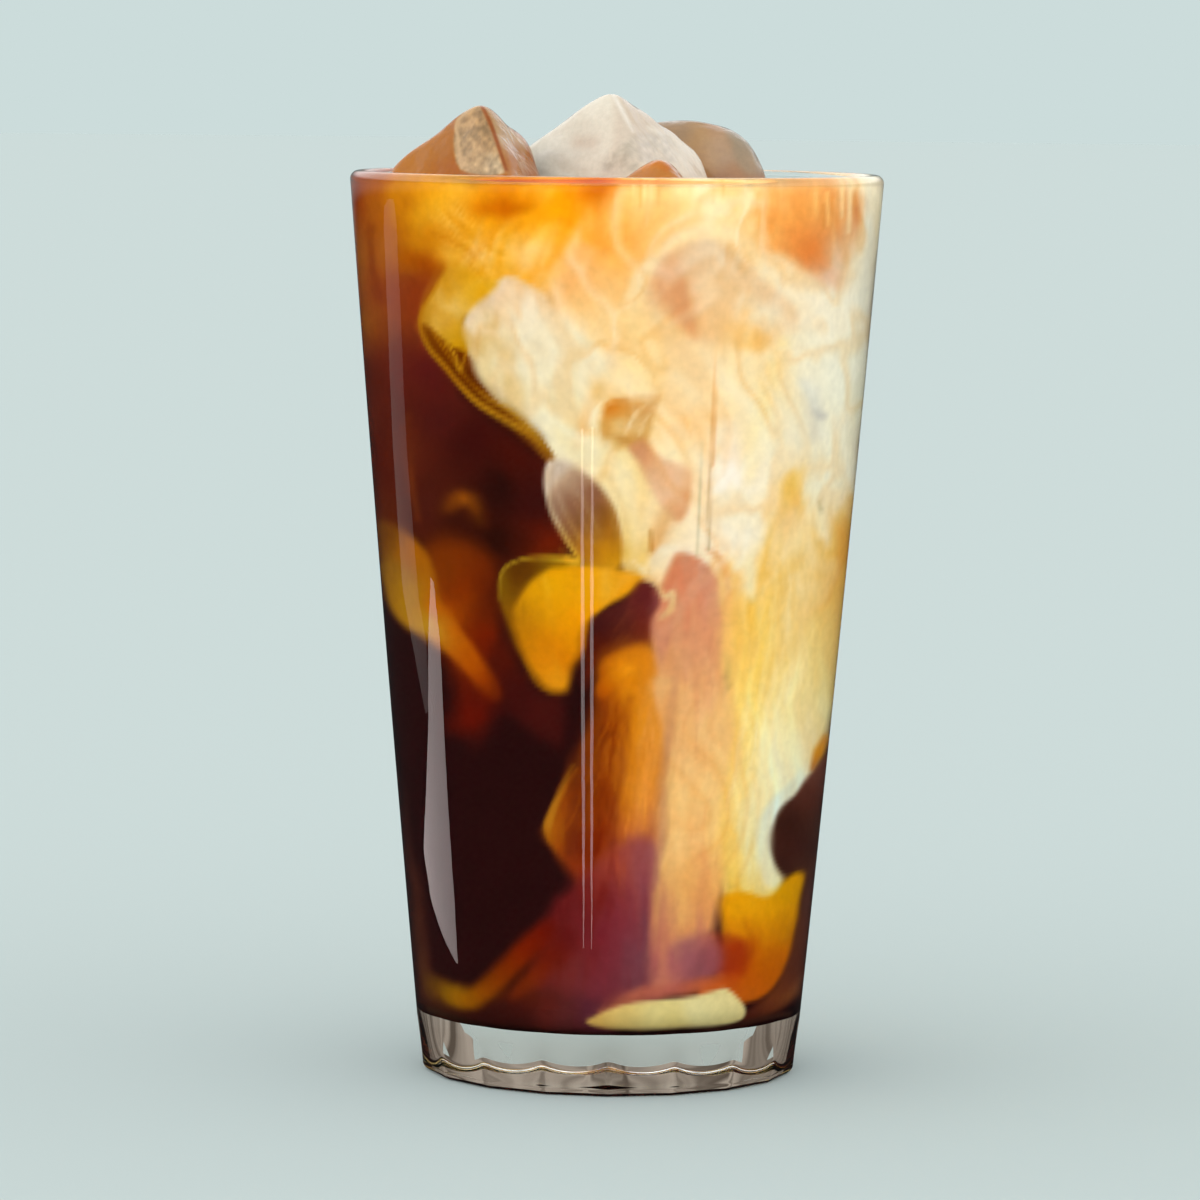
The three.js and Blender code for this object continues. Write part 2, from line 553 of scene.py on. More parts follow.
COFFEE = "#270B0B"
CLOUDS = (
    # Coffee, from the brown light by the left wall to black
    Pool(
        "left wall coffee",
        ((345, 170), (450, 170), (455, 250), (445, 300), (440, 345), (470, 400), (520, 440), (560, 470),
         (565, 560), (490, 570), (430, 545), (378, 545), (350, 400)),
        ((357, 195, "#8A2E02"), (378, 200, "#A85A10"), (398, 205, "#B5640C"), (362, 255, "#A45A18"),
         (388, 250, "#B06220"), (412, 250, "#AE5E06"), (366, 320, "#9C5614"), (392, 300, "#8E3C1C"),
         (415, 300, "#8A320E"), (375, 380, "#561A0C"), (398, 370, "#641F14"), (425, 370, "#561414"),
         (380, 460, "#521404"), (410, 450, "#5E2010"), (435, 420, "#4C1512"), (470, 440, "#3C0D0A"),
         (520, 450, "#451008"), (500, 490, "#2A0C08"), (385, 520, "#5A2008"), (430, 510, "#4E1A10"),
         (455, 530, "#3A1208"), (540, 500, "#3A0F0C"), (545, 540, "#5E1808"), (500, 545, "#2C0D06")),
        10,
    ),
    Plume("dark fold by the wall", ((374, 225), (375, 265), (382, 300)), (3, 4, 2), ("#7A3008",
          "#7A2C14"), 5, 0.8),
    Plume("brown light low", ((411, 415), (412, 480), (420, 520)), (3, 4, 3), ("#6E2C0E", "#7A3410",
          "#703010"), 4, 0.7),
    Plume("ember", ((450, 508), (460, 500), (472, 502), (480, 522)), (6, 8, 7, 3), ("#7A3A06",
          "#A8560C", "#6A3404"), 7, 0.85),
    Pool(
        "left brown cloud",
        ((428, 545), (470, 545), (500, 575), (507, 640), (505, 690), (480, 735), (450, 730), (455, 690),
              (440, 650), (425, 600)),
        ((445, 565, "#7C3204"), (465, 590, "#822C02"), (490, 600, "#4E1606"), (480, 640, "#761C02"),
              (500, 660, "#48120A"),
         (470, 715, "#661204"), (495, 700, "#4C0E08"), (455, 610, "#A04402")),
        14,
    ),
    Pool(
        "left amber glow",
        ((374, 525), (410, 535), (432, 560), (440, 600), (462, 630), (486, 664), (502, 694), (492, 702),
              (468, 676),
         (446, 654), (424, 640), (400, 622), (384, 592)),
        ((384, 545, "#6E3A0C"), (395, 575, "#96641A"), (404, 600, "#AE7A10"), (420, 622, "#BC881C"),
              (432, 630, "#C4922A"),
         (420, 560, "#A85C06"), (440, 605, "#B85804"), (452, 630, "#C05A02"), (470, 655, "#B85202"),
               (485, 680, "#983802"),
         (494, 694, "#7E2802")),
        5,
        warp=0.6,
    ),
    Pool(
        "red haze",
        ((505, 640), (540, 690), (560, 700), (560, 745), (530, 730), (500, 700)),
        ((515, 655, "#5A1606"), (545, 712, "#4E1410"), (520, 690, "#420F0C")),
        12,
        0.8,
    ),
    Plume("haze by the lobe", ((520, 540), (535, 552), (552, 548)), (6, 10, 8), ("#3E1208", "#661C06",
          "#701E04"), 10, 0.8),
    # Amber under the rim
    Pool(
        "amber under the rim",
        ((396, 178), (520, 174), (645, 178), (640, 215), (600, 250), (575, 285), (540, 296), (500, 292),
              (470, 318),
         (440, 300), (448, 270), (422, 262), (404, 235)),
        ((425, 215, "#E0980C"), (445, 200, "#E8A010"), (435, 236, "#C87808"), (460, 186, "#EFA81C"),
              (480, 205, "#D87C04"),
         (505, 207, "#C46000"), (490, 226, "#F0A40C"), (520, 216, "#E89008"), (515, 240, "#E8A010"),
               (535, 222, "#FFAA04"),
         (547, 240, "#FFC848"), (530, 256, "#F8C45C"), (555, 214, "#FFA800"), (572, 206, "#F89808"),
               (582, 216, "#FC9400"),
         (590, 197, "#D87008"), (610, 197, "#CC6000"), (480, 258, "#EFBA54"), (466, 262, "#E8A828"),
               (460, 282, "#DC9408"),
         (472, 296, "#E8A004"), (500, 272, "#E89C08"), (520, 279, "#F0A010"), (545, 274, "#F8A418"),
               (565, 242, "#FFAE2C"),
         (410, 200, "#B86A0A"), (408, 226, "#B4660A")),
        8,
    ),
    Plume("gleam one", ((533, 264), (530, 252), (546, 237), (557, 227)), (4, 8, 9, 4), ("#F8C860",
          "#FFD064", "#FFC040"), 7, 0.8),
    Plume("gleam two", ((477, 247), (483, 258), (479, 268)), (4, 7, 4), ("#F0C060", "#F6D088",
          "#EFB850"), 5, 0.85),
    Plume("dark brown fold", ((410, 256), (430, 263), (448, 273)), (8, 10, 4), ("#A85404", "#943A02",
          "#9A4404"), 8, 0.85),
    Plume("dark cap", ((484, 208), (508, 206), (534, 203)), (5, 9, 4), ("#CC6A02", "#C05C00",
          "#D07400"), 8, 0.85),
    Plume("middle cap", ((584, 196), (605, 196), (628, 192)), (6, 9, 5), ("#D87408", "#CA5E00",
          "#D87410"), 7, 0.9),
    Plume("gold threads", ((440, 196), (470, 236), (520, 262), (560, 276)), (14, 20, 20, 12),
          ("#F6B838", "#FFC048", "#F8B030", "#FFB840"), 8, 0.7, 0.4),
    Plume("amber threads", ((425, 225), (470, 250), (500, 290)), (10, 14, 10), ("#C46C04", "#D07C08",
          "#D88A08"), 7, 0.6, 0.35),
    # Cream on the right
    Pool(
        "cream field",
        ((592, 216), (640, 178), (760, 176), (886, 178), (876, 330), (856, 540), (820, 660), (700, 660),
              (660, 600),
         (625, 575), (600, 520), (572, 470), (550, 430), (545, 330), (548, 284)),
        ((590, 236, "#FFA428"), (605, 228, "#FFB24C"), (583, 252, "#F8BA74"), (574, 287, "#F0B06A"),
              (592, 292, "#F8CA86"),
         (615, 256, "#FFC164"), (618, 302, "#FBCE88"), (602, 325, "#F4D6A2"), (640, 288, "#F4D6A4"),
               (650, 222, "#FFCA7E"),
         (680, 205, "#FFDB9C"), (720, 208, "#FEE0A6"), (742, 212, "#FEDA9C"), (640, 375, "#FBDDA4"),
               (690, 378, "#F7D9A8"),
         (725, 388, "#FEE5B6"), (690, 430, "#FDCC8A"), (680, 453, "#FBE2AC"), (728, 470, "#FFF2E8"),
               (725, 520, "#FFF4E4"),
         (764, 420, "#F9ECCC"), (800, 440, "#F3F0E3"), (845, 380, "#F2EDDA"), (820, 320, "#F8EFDB"),
               (850, 300, "#F3EAD6"),
         (790, 525, "#F9DCA0"), (835, 480, "#F2EAD2"), (610, 470, "#F5DDA2"), (625, 530, "#F3D080"),
               (690, 560, "#F8E6CC"),
         (760, 560, "#FADC9C"), (750, 620, "#F5C04C")),
        11,
    ),
    Plume("peach patch", ((664, 432), (690, 424), (712, 418)), (5, 10, 8), ("#FBD49C", "#FDC986",
          "#FBC884"), 9, 0.8),
    Plume("yellow fall", ((776, 345), (764, 380), (754, 430), (748, 480)), (8, 9, 8, 7), ("#FBDFA0",
          "#FBE2A6", "#FBE6B6"), 8, 0.8),
    Plume("white fall", ((722, 430), (728, 480), (722, 545)), (10, 14, 12), ("#FDF0E4", "#FFF3EA",
          "#FDF2E2"), 9, 0.85),
    Plume("cream threads", ((590, 300), (620, 340), (660, 370), (700, 420), (716, 500)), (16, 22, 24,
          22, 16),
          ("#FAD898", "#FCDFA8", "#FBDDA2", "#FEEAC6", "#FFF4E4"), 10, 0.6, 0.4, gauge=9),
    Plume("peach threads", ((575, 262), (600, 300), (625, 330), (640, 350)), (14, 16, 14, 8),
          ("#F2AC62", "#F8C078", "#F8C47C"), 9, 0.6, 0.4, gauge=7),
    # Arch over the ice that lies behind
    Pool(
        "arch hollow",
        ((648, 300), (652, 268), (668, 248), (690, 239), (714, 238), (738, 254), (764, 284), (792, 306),
              (796, 325),
         (778, 336), (764, 354), (742, 352), (716, 342), (694, 340), (672, 322)),
        ((662, 268, "#DEA274"), (672, 285, "#DC9A68"), (684, 318, "#E4A470"), (690, 247, "#E2B98C"),
              (714, 250, "#E4C096"),
         (740, 272, "#E8C69C"), (768, 300, "#ECC69A"), (786, 318, "#F0C898"), (704, 285, "#F3D8B2"),
               (722, 290, "#F2D9B6"),
         (704, 318, "#F7D8AC"), (738, 326, "#FDD490"), (754, 344, "#FBC876"), (762, 320, "#F3E6CE")),
        6,
        warp=0.6,
    ),
    Plume("arch dusky face", ((664, 262), (672, 285), (686, 318), (693, 336)), (10, 13, 8, 3),
          ("#DFA476", "#DB9866", "#E2A26E"), 6, 0.8, warp=0.5),
    Plume("arch ridge", ((636, 335), (634, 295), (648, 262), (672, 238), (704, 229), (734, 238), (766,
          262), (794, 290), (830, 322)),
          (6, 8, 7, 6, 6, 8, 10, 12, 20), ("#F8D290", "#F4D8A6", "#F6D9A4", "#FBE2B0", "#FCE6BC",
                "#FDE8C2", "#FBEED6"), 7, 0.9, warp=0.6),
    Plume("arch inner shade", ((650, 290), (664, 330), (690, 365), (698, 400)), (3, 6, 8, 4),
          ("#EBCDA0", "#F0D0A0", "#F8DAA8"), 7, 0.7),
    # Orange under the rim on the right, with drips in it
    Pool(
        "orange under the rim",
        ((757, 192), (800, 186), (852, 190), (860, 210), (856, 236), (846, 262), (836, 287), (820, 280),
              (804, 270),
         (780, 256), (757, 244)),
        ((770, 205, "#FDBE74"), (765, 235, "#FDB35E"), (786, 222, "#FAA850"), (803, 205, "#F2A654"),
              (800, 243, "#EE9244"),
         (813, 252, "#E68038"), (835, 222, "#E69848"), (850, 222, "#DE9C68"), (830, 272, "#E6B092"),
               (846, 262, "#DCC09C"),
         (838, 250, "#E0A878")),
        7,
        warp=0.6,
    ),
    Plume("orange deep", ((790, 235), (808, 250), (818, 262)), (8, 10, 6), ("#F0984A", "#E68038",
          "#E48A48"), 7, 0.8),
    Plume("right drip one", ((839, 188), (839, 216)), (2.4, 1), ("#F8D494", "#F4C888"), 2, 0.85,
          warp=0.2),
    Plume("right drip two", ((824, 194), (825, 226)), (1.8, 1), ("#F6CC88", "#F2BC74"), 2, 0.8,
          warp=0.2),
    Plume("right drip three", ((847, 186), (846, 232)), (2.4, 2), ("#F6DCA8", "#EFD2A4"), 2, 0.85,
          warp=0.2),
    Plume("right drip four", ((812, 192), (813, 216)), (1.8, 1), ("#F8CC84", "#F4B868"), 2, 0.8,
          warp=0.2),
    Plume("right drip five", ((831, 200), (831, 240)), (1.2, 1), ("#F0B870", "#ECA860"), 2, 0.7,
          warp=0.2),
    Plume("right dark drip", ((820, 206), (820, 228)), (1.6, 1.2), ("#DC8A3C", "#E08C40"), 2, 0.7,
          warp=0.2),
    Plume("right dark drip two", ((853, 208), (852, 236)), (2, 2), ("#D88C58", "#DE9C6C"), 2.5, 0.7,
          warp=0.2),
    # painted light: a pale grey band where the glass wall is seen edge-on, standing for the backdrop
    # seen through the glass's edge
    Plume("painted glass edge right", ((869, 185), (867, 260), (860, 340), (853, 440)), (5, 5, 4, 4), ("#EDE6D6",
          "#E6E0D0", "#E4DEC4"), 4, 0.8),
    # Milk lobe that bulges to the left
    Pool(
        "milk lobe",
        ((464, 340), (466, 320), (480, 300), (504, 281), (530, 286), (552, 302), (574, 322), (600, 350),
              (612, 380),
         (600, 420), (600, 455), (575, 472), (554, 460), (543, 440), (522, 420), (498, 402), (474, 376)),
        ((474, 320, "#E0BC94"), (500, 291, "#E2C3A6"), (530, 297, "#ECD2B2"), (522, 312, "#EFDDC0"),
              (488, 330, "#E4C890"),
         (500, 352, "#E8D09E"), (490, 378, "#E8CE94"), (532, 345, "#ECDEC2"), (548, 372, "#EEE1C6"),
               (565, 345, "#ECDDBC"),
         (592, 362, "#ECDAB6"), (520, 402, "#EBD6A6"), (548, 412, "#F0E2BE"), (572, 400, "#F1E3C0"),
               (596, 402, "#F0CE96"),
         (575, 442, "#F3E4B8"), (600, 450, "#F5E0A8")),
        7,
        warp=0.7,
    ),
    Plume("lobe rim", ((545, 296), (515, 281), (495, 290), (474, 310), (467, 335), (474, 362), (486,
          382)),
          (3, 4, 4, 3, 2.5, 2, 1.5), ("#EBCFAA", "#E6C8AA", "#E2C0A0", "#DDBB94", "#E0C89C", "#E6CE98"),
                3, 0.8, warp=0.6),
    # painted shade: a darker tan patch and a thin dark line where the lobe folds over
    Plume("lobe shade patch", ((482, 352), (484, 340), (496, 332)), (4, 6, 4), ("#DFB770", "#E0BA78",
          "#E4C48A"), 6, 0.7),
    Plume("lobe shade line", ((481, 332), (479, 345), (480, 356)), (0.8, 1.4, 0.8), ("#CFA65A", "#CFA65A"),
          1.8, 0.6),
    Plume("lobe threads", ((500, 300), (540, 350), (560, 410), (590, 450)), (14, 24, 20, 14),
          ("#F3E4CC", "#F4E8D0", "#F6EACC", "#F8E8BC"), 10, 0.6, 0.4, gauge=9),
    Plume("lobe shadow threads", ((520, 330), (560, 360), (596, 372)), (10, 14, 10), ("#E2CCA4",
          "#E4CFA8", "#E6CCA0"), 8, 0.5, 0.35, gauge=8),
    Plume("pale spot", ((611, 352), (613, 364)), (3, 4), ("#E8C090", "#E0B888"), 5, 0.6),
    # Golden ribbon along the lobe's edge
    Pool(
        "ribbon gold",
        ((456, 262), (440, 282), (424, 310), (426, 330), (440, 345), (462, 354), (469, 346), (465, 322),
              (480, 302),
         (500, 284), (480, 278)),
        ((450, 280, "#C88A14"), (445, 300, "#DCA028"), (451, 308, "#E8B858"), (438, 316, "#DCA83A"),
              (455, 330, "#D09810"),
         (462, 345, "#C08600"), (475, 290, "#E4A408"), (432, 312, "#B87C14")),
        4,
    ),
    Pool(
        "ribbon shade",
        ((424, 322), (436, 330), (452, 346), (468, 354), (475, 376), (499, 402), (528, 423), (556, 456),
              (548, 460),
         (520, 436), (490, 416), (462, 392), (440, 364), (426, 340)),
        ((432, 335, "#7A3C02"), (450, 356, "#6A2C00"), (468, 372, "#5A2000"), (490, 404, "#6A3000"),
              (525, 430, "#7A4006"),
         (548, 452, "#8A5210")),
        2.5,
        warp=0.5,
    ),
    Plume("ribbon outer line", ((440, 284), (425, 308), (423, 326), (430, 346), (448, 370), (470, 395),
          (496, 416), (526, 432), (550, 451)),
          (2, 2, 2, 2, 2.4, 2.6, 2.8, 2.4, 1.6), ("#B87810", "#C0820E", "#B87C0C", "#B0720A", "#B47A10",
                "#C08818", "#A87010"), 1.8, warp=0.5),
    Plume("ribbon inner line", ((436, 332), (450, 356), (468, 380), (488, 398), (512, 412), (536, 434),
          (556, 456)),
          (1, 1.4, 1.6, 2.2, 2.4, 2, 1.4), ("#A86A04", "#9A5C02", "#8E5202", "#C08C22", "#B88420",
                "#8E5806"), 1.7, 0.95, warp=0.5),
    Plume("ribbon squiggle", ((446, 342), (455, 354), (460, 370), (464, 362), (468, 350)), (1, 1.6, 1.6,
          1.2, 1),
          ("#D8A018", "#D09414", "#C88C10"), 1.7, 0.9, warp=0.4),
    # Small curl in the milk
    Plume("curl blush", ((586, 430), (592, 405), (604, 382)), (5, 6, 6), ("#F2B878", "#EFBE7C",
          "#E8B866"), 7, 0.7),
    Pool(
        "curl heart",
        ((604, 414), (612, 402), (640, 400), (660, 398), (654, 416), (648, 440), (624, 452), (606, 446),
              (602, 430)),
        ((612, 408, "#D06806"), (625, 410, "#DAA050"), (645, 406, "#D8A05C"), (617, 427, "#E8C272"),
              (636, 427, "#D4A660"),
         (607, 442, "#BE7E28"), (622, 447, "#B88038")),
        4,
        warp=0.45,
    ),
    Plume("curl line", ((600, 414), (605, 404), (618, 399), (640, 398), (660, 397)), (1, 1.6, 1.6, 1.5,
          1),
          ("#F4D8A0", "#E0A050", "#D68A34", "#C88C48", "#E2AE70"), 1.6, 0.9, warp=0.35),
    Plume("curl white", ((606, 400), (596, 412), (594, 424), (602, 434)), (1, 2.2, 2.2, 1), ("#F8E4B8",
          "#FAE8C4", "#F6E2B4"), 2, 0.85, warp=0.35),
    Plume("curl crease", ((626, 434), (636, 414), (648, 404)), (1, 1.8, 1), ("#E8CFA0", "#EBD2A4",
          "#E0B478"), 1.8, 0.7, warp=0.4),
    Plume("curl crease two", ((640, 436), (646, 420), (654, 408)), (1, 1.4, 1), ("#EBD0A0", "#E8C898",
          "#E4BC84"), 1.8, 0.6, warp=0.4),
    # Milk that runs down from the lobe
    Pool(
        "milk neck",
        ((560, 455), (600, 440), (636, 448), (650, 480), (668, 512), (654, 530), (642, 574), (620, 568),
              (618, 535),
         (608, 505), (590, 485), (572, 470)),
        ((580, 462, "#F2E2BC"), (610, 462, "#F5E0A8"), (630, 480, "#F5D898"), (620, 500, "#F4DC9C"),
              (640, 505, "#F8D48C"),
         (634, 530, "#F3D488"), (628, 556, "#ECC05C"), (650, 515, "#F6CC90")),
        5,
    ),
    Plume("neck threads", ((606, 450), (632, 490), (644, 530), (640, 568)), (14, 14, 10, 6), ("#FCE8BC",
          "#FBE0A8", "#F4CC80", "#F0C070"), 5, 0.8, 0.45),
    Plume("neck shade", ((608, 470), (618, 500), (624, 530), (626, 562)), (3, 3, 3, 3), ("#E4BC74",
          "#DCAC54", "#E2A828"), 4, 0.5),
    Pool(
        "dusky fold",
        ((630, 446), (645, 441), (660, 458), (690, 470), (689, 500), (676, 521), (660, 506), (648, 482),
              (638, 462)),
        ((645, 450, "#CE9068"), (656, 466, "#DE9E6E"), (673, 481, "#E2A274"), (668, 500, "#DFA070"),
              (681, 490, "#E4AA7C")),
        4,
        warp=0.6,
    ),
    Plume("fold threads", ((640, 450), (660, 480), (672, 512)), (8, 10, 6), ("#EBB88A", "#EAB488",
          "#F0C090"), 4, 0.7, 0.35),
    Plume("fold foot", ((664, 512), (657, 530), (652, 552)), (7, 7, 5), ("#E0AE7C", "#E2A868",
          "#DE9A54"), 5, 0.85),
    Plume("fold line", ((650, 530), (650, 550)), (1.5, 2), ("#C07A2C", "#B8701C"), 2, 0.8, warp=0.3),
    # Thin veil beside it
    Pool(
        "veil",
        ((546, 470), (556, 460), (580, 468), (600, 486), (614, 512), (622, 545), (616, 572), (590, 572),
              (572, 552),
         (556, 526), (547, 495)),
        ((554, 474, "#C0A69A"), (566, 480, "#C8AC96"), (580, 486, "#A87C60"), (592, 501, "#7E4A34"),
              (575, 505, "#8A5C48"),
         (562, 510, "#9A7460"), (574, 528, "#805036"), (592, 524, "#7C4A26"), (606, 519, "#8C5410"),
               (600, 544, "#BA760E"),
         (586, 550, "#AE6E1C"), (612, 560, "#D8960C")),
        4,
        1.0,
        0.08,
        warp=0.5,
    ),
    Plume("veil threads", ((558, 464), (568, 495), (584, 525), (598, 556)), (8, 12, 12, 10), ("#CDB6A2",
          "#B08A70", "#A87A48", "#CC9028"), 4, 0.7, 0.4),
    Plume("veil edge", ((551, 464), (547, 486), (552, 512), (564, 536), (578, 558)), (2.5, 2.5, 2.2, 2,
          2),
          ("#D6C4B6", "#D2C0B0", "#CDB694", "#C8A45C", "#DCA828"), 2, 0.9, warp=0.4),
    Plume("veil thread", ((559, 468), (557, 490), (565, 516), (579, 540)), (1.2, 1.2, 1.4, 1.2),
          ("#CDB8A8", "#BFA290", "#AC8460", "#B8843C"), 1.7, 0.8, warp=0.4),
    # Golden blob
    Pool(
        "blob shade",
        ((499, 598), (500, 580), (510, 566), (535, 559), (580, 562), (600, 600), (572, 660), (566, 692),
              (545, 692), (526, 666), (510, 632)),
        ((506, 585, "#7A5408"), (525, 573, "#4E2204"), (512, 604, "#8A5A08"), (516, 630, "#8A5004"),
              (530, 662, "#A46006"),
         (550, 566, "#8A600A")),
        4,
        warp=0.5,
    ),
    Pool(
        "blob",
        ((526, 590), (545, 573), (575, 566), (606, 570), (642, 577), (627, 597), (602, 611), (588, 626),
              (584, 650),
         (572, 670), (566, 690), (548, 688), (532, 668), (521, 640), (514, 612)),
        ((560, 585, "#F0AA04"), (543, 592, "#EBA608"), (580, 592, "#F2A80C"), (602, 588, "#F0A818"),
              (627, 584, "#EFA010"),
         (560, 612, "#F4A406"), (575, 622, "#F49A04"), (540, 612, "#DA9408"), (530, 632, "#CC7E08"),
               (550, 640, "#E08204"),
         (561, 660, "#DE7C02"), (545, 656, "#E2870A"), (556, 681, "#E89818"), (525, 618, "#B87808")),
        4,
        warp=0.6,
    ),
    Plume("blob top line", ((500, 600), (500, 582), (505, 570), (518, 562), (536, 559), (560, 560),
          (578, 563)), (1.6, 1.6, 1.6, 1.6, 1.8, 2.6, 3),
          ("#8A6410", "#A07C18", "#AC8A1C", "#B4901E", "#C0981C", "#E8B028"), 1.8, 0.95, warp=0.4),
    Plume("blob foot line", ((526, 660), (538, 682), (552, 691), (568, 692)), (1.5, 2, 2, 1),
          ("#A8680C", "#C8860C", "#C07C0C"), 2.5, 0.8),
    Plume("blob knob", ((566, 560), (574, 562)), (4, 4), ("#F0B424", "#F2BC30"), 3, 0.9),
    Plume("blob threads", ((520, 590), (545, 640), (560, 684)), (10, 14, 8), ("#C88410", "#D07804",
          "#F0A828"), 6, 0.5, 0.35, gauge=6),
    Plume("blob haze", ((516, 600), (522, 630), (536, 660)), (5, 6, 5), ("#9A6A0C", "#A86C0C",
          "#B06C08"), 6, 0.6, 0.5),
    # Dark gap between the blob and the dome
    Pool(
        "dark gap",
        ((588, 628), (604, 612), (628, 598), (642, 582), (656, 592), (656, 620), (648, 650), (636, 664),
              (600, 664), (584, 690)),
        ((600, 626, "#3E1414"), (620, 616, "#4A1C1C"), (640, 600, "#5A1C1C"), (650, 606, "#6A2426"),
              (625, 636, "#5A2416"),
         (604, 652, "#561808"), (641, 632, "#7A2C14")),
        4,
        warp=0.5,
    ),
    Plume("gap threads", ((640, 600), (630, 625), (610, 650)), (10, 14, 12), ("#7A3A30", "#7E3A24",
          "#7E3410"), 6, 0.5, 0.3),
    # Curtain of orange streaks
    Pool(
        "orange curtain",
        ((600, 664), (640, 645), (664, 670), (670, 760), (660, 860), (640, 900), (600, 905), (566, 870),
              (544, 838), (546, 824),
         (562, 788), (580, 750), (596, 705)),
        ((600, 692, "#B04C02"), (625, 674, "#E88C0E"), (611, 681, "#D07004"), (608, 730, "#7E2E00"),
              (620, 720, "#A85004"),
         (633, 702, "#E08808"), (626, 742, "#D87C08"), (641, 722, "#F09C20"), (652, 700, "#E89848"),
               (652, 742, "#F0A44C"),
         (575, 790, "#8A3804"), (570, 812, "#A44A0A"), (558, 828, "#B0600C"), (590, 800, "#963804"),
               (606, 800, "#6E1E00"),
         (600, 832, "#7A1A00"), (580, 842, "#701A04"), (620, 792, "#DC8008"), (622, 830, "#C05A08"),
               (641, 790, "#F6A440"),
         (646, 812, "#F4A040"), (634, 832, "#DC8448"), (629, 852, "#C06444"), (612, 870, "#8A2A18"),
               (600, 882, "#761A0A")),
        6,
        flow=Flow.FALL,
    ),
    Plume("curtain shade", ((608, 680), (592, 740), (580, 800), (574, 850)), (8, 12, 12, 8),
          ("#6A240C", "#561C0C", "#5E1E12"), 10, 0.55),
    Plume("curtain shade two", ((630, 700), (618, 780), (612, 860)), (3, 4, 4), ("#8A3A0C", "#7A3010"),
          5, 0.5),
    Plume("curtain left edge", ((574, 768), (562, 790), (547, 824), (550, 842)), (1.6, 3, 5, 3),
          ("#A8640C", "#B87014", "#C07818", "#A05408"), 2.5, 0.95, warp=0.4),
    Plume("curtain star", ((604, 690), (614, 678), (628, 671), (634, 682)), (8, 8, 6, 4), ("#C46004",
          "#DC7E08", "#F09818", "#D87C08"), 5, 0.85, warp=0.4),
    Plume("curtain dark threads", ((612, 690), (604, 750), (600, 820), (596, 880)), (10, 14, 14, 10),
          ("#8A3000", "#6E1E00", "#661600", "#6A1406"), 5, 0.7, 0.4),
    Plume("curtain light threads", ((618, 690), (606, 740), (588, 800), (568, 836)), (4, 6, 8, 8),
          ("#D88010", "#C06408", "#B45A08", "#B8600C"), 4, 0.7, 0.4),
    Plume("curtain gold threads", ((640, 690), (632, 750), (630, 810), (626, 850)), (8, 9, 8, 6),
          ("#F4A020", "#F09410", "#F09820", "#D87830"), 5, 0.7, 0.45),
    # Rosy foot of the curtain
    Pool(
        "rosy foot",
        ((556, 905), (596, 866), (628, 842), (664, 850), (668, 940), (662, 1004), (600, 1010), (530,
              1004), (536, 945)),
        ((566, 905, "#5C1212"), (600, 892, "#741A12"), (620, 866, "#AA4428"), (640, 872, "#9C4E52"),
              (652, 862, "#9A5256"),
         (646, 902, "#8A4650"), (630, 902, "#8C3438"), (620, 922, "#842C36"), (600, 932, "#78202A"),
               (640, 942, "#7A404C"),
         (641, 972, "#74404A"), (610, 962, "#7E2A34"), (580, 952, "#742020"), (570, 982, "#742A28"),
               (600, 992, "#702A34"),
         (548, 955, "#681808")),
        9,
        flow=Flow.FALL,
    ),
    # Rosy dome
    Pool(
        "rosy dome",
        ((660, 690), (650, 640), (656, 600), (668, 566), (678, 552), (696, 556), (712, 568), (722, 592),
              (725, 640), (722, 700), (700, 730), (675, 730)),
        ((680, 560, "#D08C6C"), (700, 570, "#CE8C70"), (690, 590, "#DE8660"), (675, 582, "#DC805A"),
              (714, 596, "#CE8468"),
         (700, 612, "#DC8A64"), (672, 620, "#D68E68"), (662, 640, "#CC8468"), (686, 640, "#E6A878"),
               (706, 640, "#E0966A"),
         (690, 662, "#DCA078"), (668, 672, "#E09E64"), (712, 672, "#E8A870"), (690, 702, "#E8AC72")),
        4,
        flow=Flow.FALL,
        warp=0.5,
    ),
    # Peach curtain
    Pool(
        "peach curtain",
        ((652, 680), (700, 690), (738, 690), (745, 800), (724, 880), (716, 925), (700, 960), (676, 990),
              (654, 990), (650, 920), (662, 840), (666, 760)),
        ((660, 720, "#EBA864"), (676, 700, "#E8B478"), (691, 722, "#EDB774"), (701, 702, "#EAA878"),
              (711, 722, "#F4C078"),
         (667, 760, "#DCA068"), (681, 800, "#F6C478"), (696, 780, "#F6C27A"), (681, 852, "#F4C074"),
               (691, 872, "#F2B96C"),
         (701, 832, "#F2B06A"), (706, 862, "#EBA062"), (711, 892, "#E89A5C"), (721, 800, "#F8CE84"),
               (716, 842, "#FAD080"),
         (681, 902, "#EFB068"), (666, 892, "#DDA058"), (691, 918, "#E69A58"), (670, 922, "#DC985E"),
               (656, 932, "#C0745A"),
         (666, 962, "#BC625C"), (700, 940, "#C07060"), (690, 934, "#D08860")),
        5,
        flow=Flow.FALL,
    ),
    Plume("mauve streak", ((676, 664), (668, 720), (664, 780), (661, 830), (656, 890)), (3, 4, 4, 4.5,
          3), ("#D49870", "#CE9260", "#C48858", "#B87A5C", "#A4645A"), 4, 0.8),
    Plume("peach threads", ((690, 640), (694, 720), (690, 800), (686, 900)), (22, 22, 20, 16),
          ("#F0B480", "#F8CC8C", "#FCD490", "#F6BC78"), 7, 0.6, 0.4, gauge=6),
    Plume("dusk threads", ((704, 620), (706, 700), (706, 830), (704, 910)), (14, 14, 8, 8), ("#D08060",
          "#E09C68", "#E8A064", "#E4945A"), 6, 0.55, 0.35, gauge=5),
    # Right curtain
    Pool(
        "right curtain",
        ((722, 560), (735, 580), (750, 608), (768, 540), (790, 470), (815, 540), (856, 490), (856, 560),
              (840, 680), (826, 745),
         (806, 776), (784, 806), (770, 840), (774, 862), (786, 880), (770, 908), (735, 905), (720, 880),
               (735, 760), (722, 660)),
